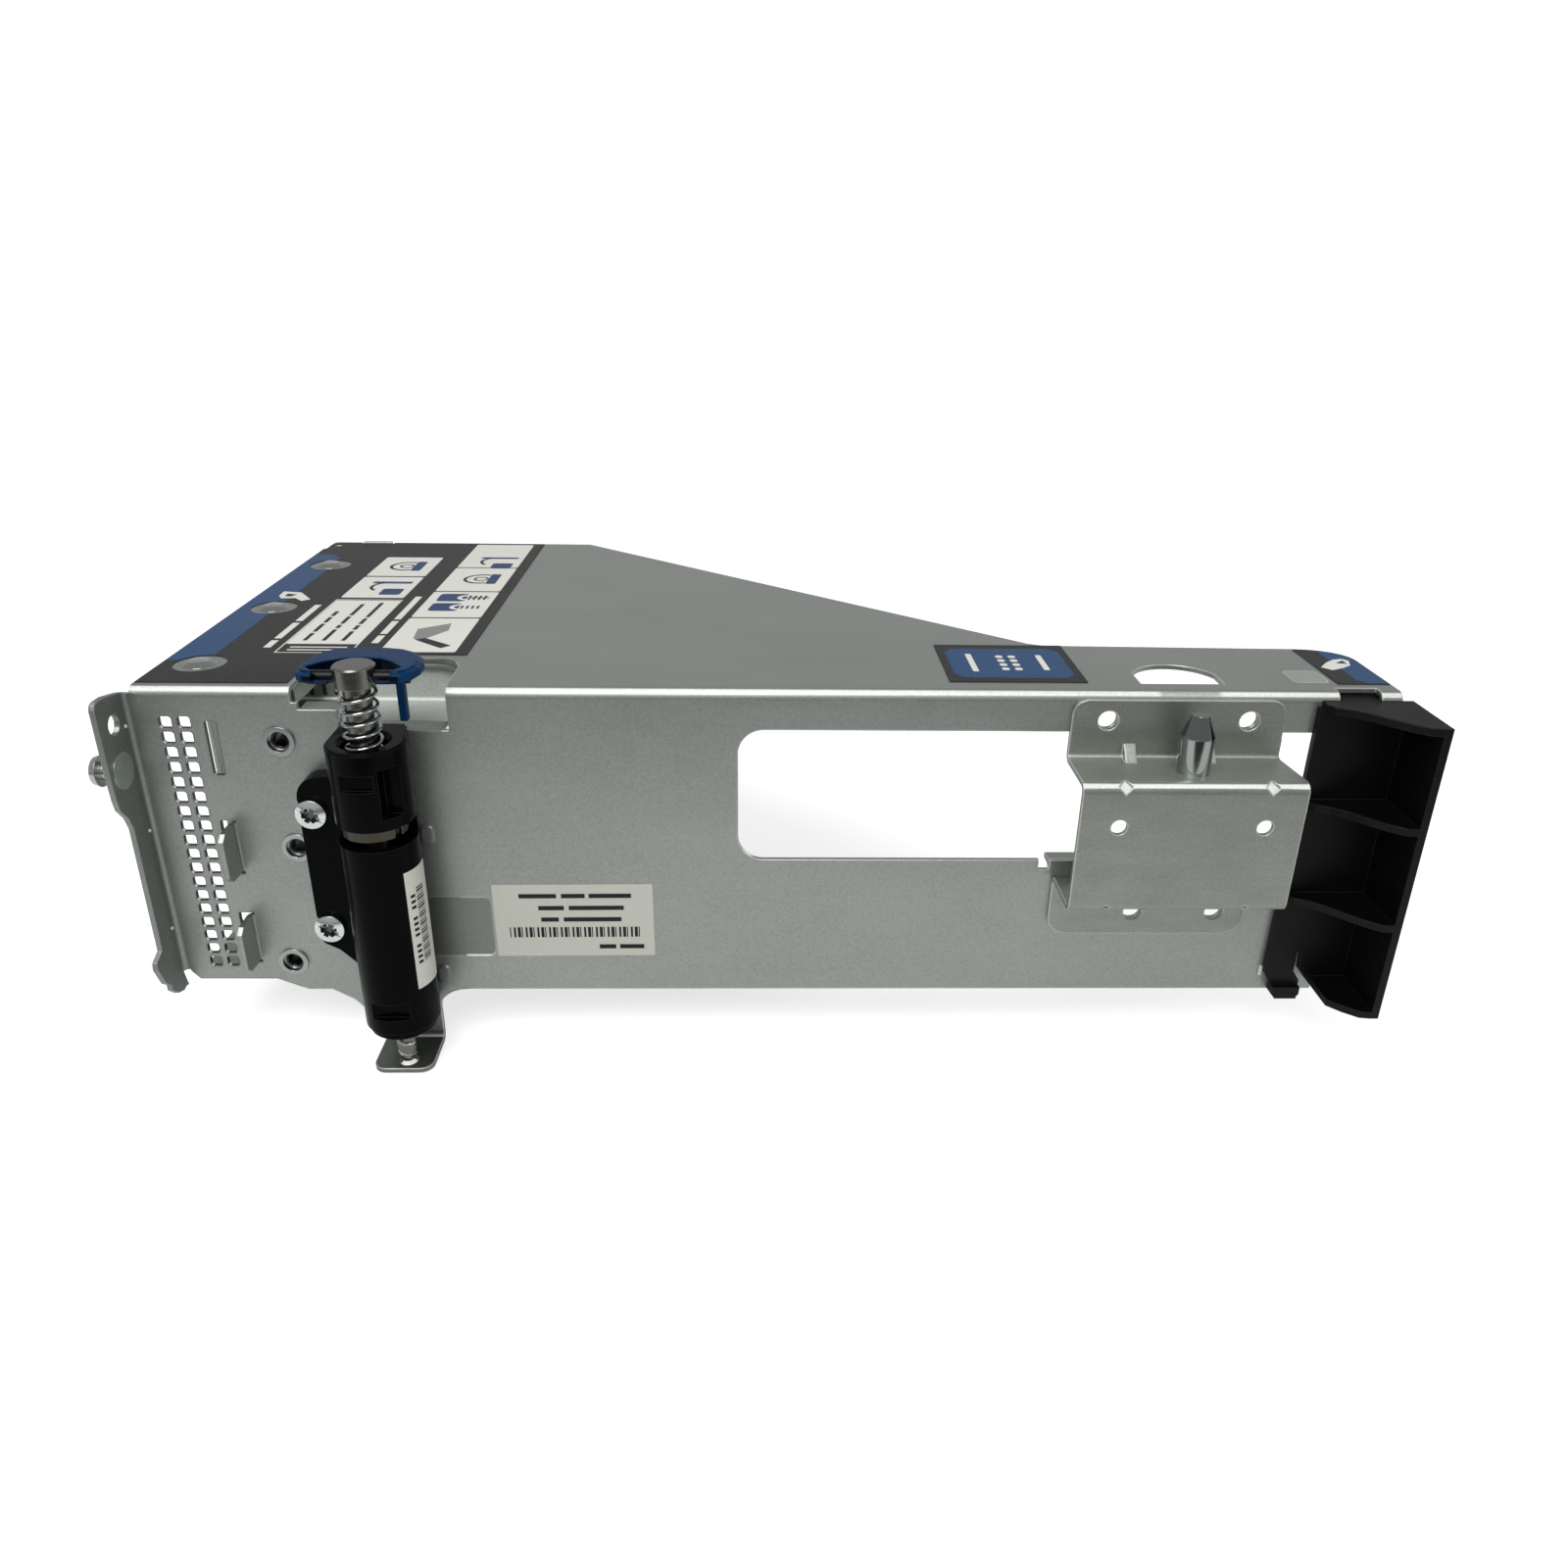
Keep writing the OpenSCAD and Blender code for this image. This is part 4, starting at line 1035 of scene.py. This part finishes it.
# a plain pointer across the edge of the blue band
pointer = [(5.2, 66.4), (9.6, 65.6), (13.6, 59.8), (12.0, 58.4), (9.8, 60.8)]
pointer += [(6.6, 60.4), (5.4, 62.6)]
sheet_print.lay(panel_white, pointer, 2)
sheet_print.lay(line_black, [(6.8, 64.4), (9.2, 63.8), (8.4, 62.0), (6.9, 62.2)], 3)
sheet_print.finish("instruction_print", "white_print")

# ---------------------------------------------------------------- press and end labels
# Two smaller printed labels lie on the roof's narrow strip: a blue touch field with eight
# white dots on a charcoal border, and a charcoal and blue corner label with a pointer.
coat("press_label", charcoal)
press_print = print_on_top("press_label")
touch_field = [(1.6, 4.4), (3.4, 2.2), (23.6, 2.3), (25.4, 4.2)]
touch_field += [(25.4, 18.6), (23.6, 20.8), (3.4, 20.6), (1.6, 18.4)]
press_print.lay(band_blue, touch_field)
for column in (12.4, 15.0):
    for row in (7.6, 10.2, 12.8, 15.3):
        press_print.block(
            panel_white, column - 0.75, row - 0.8, column + 0.75, row + 0.8, level=2, corner=0.5
        )
for x, y0, y1 in ((6.2, 6.0, 17.0), (20.6, 7.0, 16.4)):
    press_print.block(panel_white, x - 0.6, y0, x + 0.6, y1, level=2, corner=0.3)
press_print.finish("press_print", "white_print")

coat("end_label", charcoal)
end_print = print_on_top("end_label")
corner_field = [(5.6, 1.0), (6.2, 0.3), (9.9, 0.3), (9.9, 14.6), (9.5, 16.6)]
corner_field += [(8.6, 18.4), (7.2, 19.8), (4.6, 20.9), (4.6, 2.2)]
end_print.lay(band_blue, corner_field)
end_pointer = [(1.0, 10.0), (2.6, 8.2), (5.4, 9.6), (7.6, 11.2)]
end_pointer += [(8.6, 14.2), (7.6, 15.4), (5.6, 14.8), (3.4, 13.0)]
end_print.lay(panel_white, end_pointer, 2)
end_print.lay(line_black, [(5.2, 12.6), (7.4, 12.2), (7.2, 14.2)], 3)
end_print.finish("end_print", "white_print")

# A round-cornered inspection dot with a pale border, stuck straight on the steel beside it.
dot_grey = printed_film("clear_dot", paint(150, 155, 151), 0.30)
dot_border = printed_film("clear_dot_border", paint(186, 190, 186), 0.30)
label_thickness = 0.15
dot_print = print_on_top("end_label", -8.4)
dot_print.origin.z -= label_thickness * MM
dot_print.block(dot_border, 0.2, 0.8, 7.4, 8.0, level=3, corner=1.3)
dot_print.block(dot_grey, 0.45, 1.05, 7.15, 7.75, level=4, corner=1.1)
dot_print.finish("inspection_dot", "white_print")


# ---------------------------------------------------------------- stickers
# A paper sticker on the wall and one wrapped on the housing carry the part's data on the
# real cage. Here they hold only plain rules and stripes, in the same places.
coat("wall_label", printed_film("label_paper", paint(194, 195, 185), 0.55))
coat("latch_label", printed_film("sticker_paper", paint(214, 215, 205), 0.55))
wall_low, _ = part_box("wall_label")
tilt = 0.007                             # the label was stuck on a little askew
bars, bar_pitch = 34, 0.8
wall_print = Print(
    wall_low.copy(), Vector((1, 0, tilt)), Vector((-tilt, 0, 1)), Vector((0, -1, 0))
)
for z, parts in (
    (14.2, ((5.4, 13.0), (14.0, 18.8), (19.6, 28.2))),
    (11.4, ((9.2, 14.4), (15.4, 26.6))),
    (8.7, ((9.6, 13.2), (14.2, 26.0))),
    (2.2, ((21.2, 24.6), (25.4, 30.4))),
):
    for x0, x1 in parts:
        wall_print.block(line_black, x0, z - 0.5, x1, z + 0.5)
for k in range(bars):
    x, width = 3.0 + bar_pitch * k, 0.22 + 0.2 * ((k * 7) % 3)
    wall_print.block(line_black, x, 4.5, x + width, 6.9)
wall_print.finish("wall_print", "white_print")


class WrappedPrint(Print):
    """Ink on the sticker round the housing: x runs round it and y along it."""

    def __init__(self, axis, radius, start):
        super().__init__(axis, Vector((1, 0, 0)), Vector((0, 0, 1)), Vector((0, -1, 0)))
        self.radius, self.start = radius, start

    def at(self, x, y, z):
        angle = math.radians(self.start) + x / self.radius
        reach = self.radius + z
        return self.origin + Vector((reach * math.cos(angle), reach * math.sin(angle), y)) * MM

    def bar(self, x0, x1, y, thick):
        """A rule across the sticker in short lengths that follow its curve."""
        count = max(1, math.ceil((x1 - x0) / 0.45))
        for k in range(count):
            left, right = x0 + (x1 - x0) * k / count, x0 + (x1 - x0) * (k + 1) / count
            self.block(line_black, left, y - thick / 2, right, y + thick / 2)


housing_axis_x, housing_axis_y, sticker_radius, sticker_start = -154.0, -0.8, 7.45, -43.5
stripes, stripe_pitch, dashes, dash_pitch = 27, 0.62, 13, 1.22
sticker_low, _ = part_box("latch_label")
sticker_print = WrappedPrint(
    Vector((housing_axis_x * MM, housing_axis_y * MM, sticker_low.z)),
    sticker_radius,
    sticker_start,
)
for k in range(stripes):
    sticker_print.bar(2.3, 4.5, 5.6 + stripe_pitch * k, 0.16 + 0.13 * ((k * 5) % 3))
for k in range(dashes):
    if k % 5 != 4:
        sticker_print.bar(0.8, 1.9, 5.8 + dash_pitch * k, 0.62)
sticker_print.finish("latch_print", "white_print")

# ---------------------------------------------------------------- studio
# A pale sweep under and behind the part, one large soft lamp above, a weaker one from the
# right, and an even sky. The camera stands where the part is seen from its latch side.
# Its sizes are in metres.
studio_floor = cad_box[0][2] - 0.4 * MM
floor_front, floor_back, floor_half_width = -1.6, 0.9, 2.4
sweep_radius, sweep_top = 0.5, 2.2


def sweep():
    mesh = bmesh.new()
    profile = [(floor_front, 0.0), (floor_back, 0.0)]
    profile += on_arc(floor_back, sweep_radius, sweep_radius, range(-80, 1, 10))
    profile += [(floor_back + sweep_radius, sweep_top)]
    rows = [
        [mesh.verts.new((x, y, studio_floor + z)) for y, z in profile]
        for x in (-floor_half_width, floor_half_width)
    ]
    for k in range(len(profile) - 1):
        mesh.faces.new((rows[0][k], rows[1][k], rows[1][k + 1], rows[0][k + 1]))
    return piece("studio_sweep", mesh, [sweep_finish()])


def sweep_finish():
    """White paper that glows to the camera, so that it stays pale behind the part."""
    pale = Finish("studio_paper")
    seen, mirrored, through = [
        pale.node("ShaderNodeLightPath", out=ray)
        for ray in ("Is Camera Ray", "Is Glossy Ray", "Is Transmission Ray")
    ]
    pale.set(base_color=(0.80, 0.80, 0.80), roughness=1.0, specular_ior_level=0.0)
    glow = pale.node(
        "ShaderNodeEmission",
        None,
        {"Color": (1.0, 1.0, 1.0), "Strength": 0.62 * seen + 0.1 * mirrored + 0.1 * through},
    )
    both = pale.node(
        "ShaderNodeAddShader", None, {0: Signal(pale, pale.shader.outputs[0]), 1: glow}
    )
    pale.feed(pale.tree.nodes["Material Output"].inputs["Surface"], both)
    return pale.material


sweep()


# A dark cloth on the floor in front keeps the wall from mirroring a white floor far off.
cloth_front, cloth_back, cloth_half_width = -1.5, -0.165, 1.6


def front_cloth():
    mesh = bmesh.new()
    left, right, height = -cloth_half_width, cloth_half_width, studio_floor + 2 * MM
    mesh.faces.new(
        [
            mesh.verts.new((x, y, height))
            for x, y in (
                (left, cloth_front),
                (right, cloth_front),
                (right, cloth_back),
                (left, cloth_back),
            )
        ]
    )
    dark = Finish("studio_cloth").set(base_color=(0.03, 0.03, 0.03), roughness=1.0)
    cloth = piece("studio_cloth", mesh, [dark])
    cloth.visible_camera = False
    cloth.visible_diffuse = False
    cloth.visible_shadow = False
    return cloth


front_cloth()


lamps_aim = Vector((-0.08, 0.02, -0.02))


def soft_lamp(name, place, size, power):
    data = bpy.data.lights.new(name, "AREA")
    data.shape = "DISK"
    data.size = size
    data.energy = power
    lamp = bpy.data.objects.new(name, data)
    lamp.location = place
    lamp.rotation_euler = (lamps_aim - Vector(place)).to_track_quat("-Z", "Y").to_euler()
    bpy.context.scene.collection.objects.link(lamp)


soft_lamp("lamp_over", (-0.25, -0.50, 0.75), size=0.7, power=6.0)
soft_lamp("lamp_right", (0.75, -0.30, 0.45), size=0.4, power=0.7)


def studio_sky():
    """An even white sky, brighter where it is seen past the sweep."""
    sky = bpy.data.worlds.new("studio_sky")
    sky.use_nodes = True
    light = Graph(sky.node_tree)
    seen = light.node("ShaderNodeLightPath", out="Is Camera Ray")
    background = light.tree.nodes["Background"]
    light.feed(background.inputs["Color"], (1.0, 1.0, 1.0))
    light.feed(background.inputs["Strength"], 0.40 + 0.60 * seen)
    return sky


bpy.context.scene.world = studio_sky()

camera_place, camera_turn = (-0.083101, -0.203229, 0.089125), (65.62385, -0.81869, -1.30496)
view = bpy.data.cameras.new("view")
view.sensor_width = 36.0
view.lens = 27.178
view.clip_start = 0.01
camera = bpy.data.objects.new("view", view)
camera.location = camera_place
camera.rotation_euler = [math.radians(angle) for angle in camera_turn]
bpy.context.scene.collection.objects.link(camera)
bpy.context.scene.camera = camera
bpy.context.scene.view_settings.view_transform = "Standard"
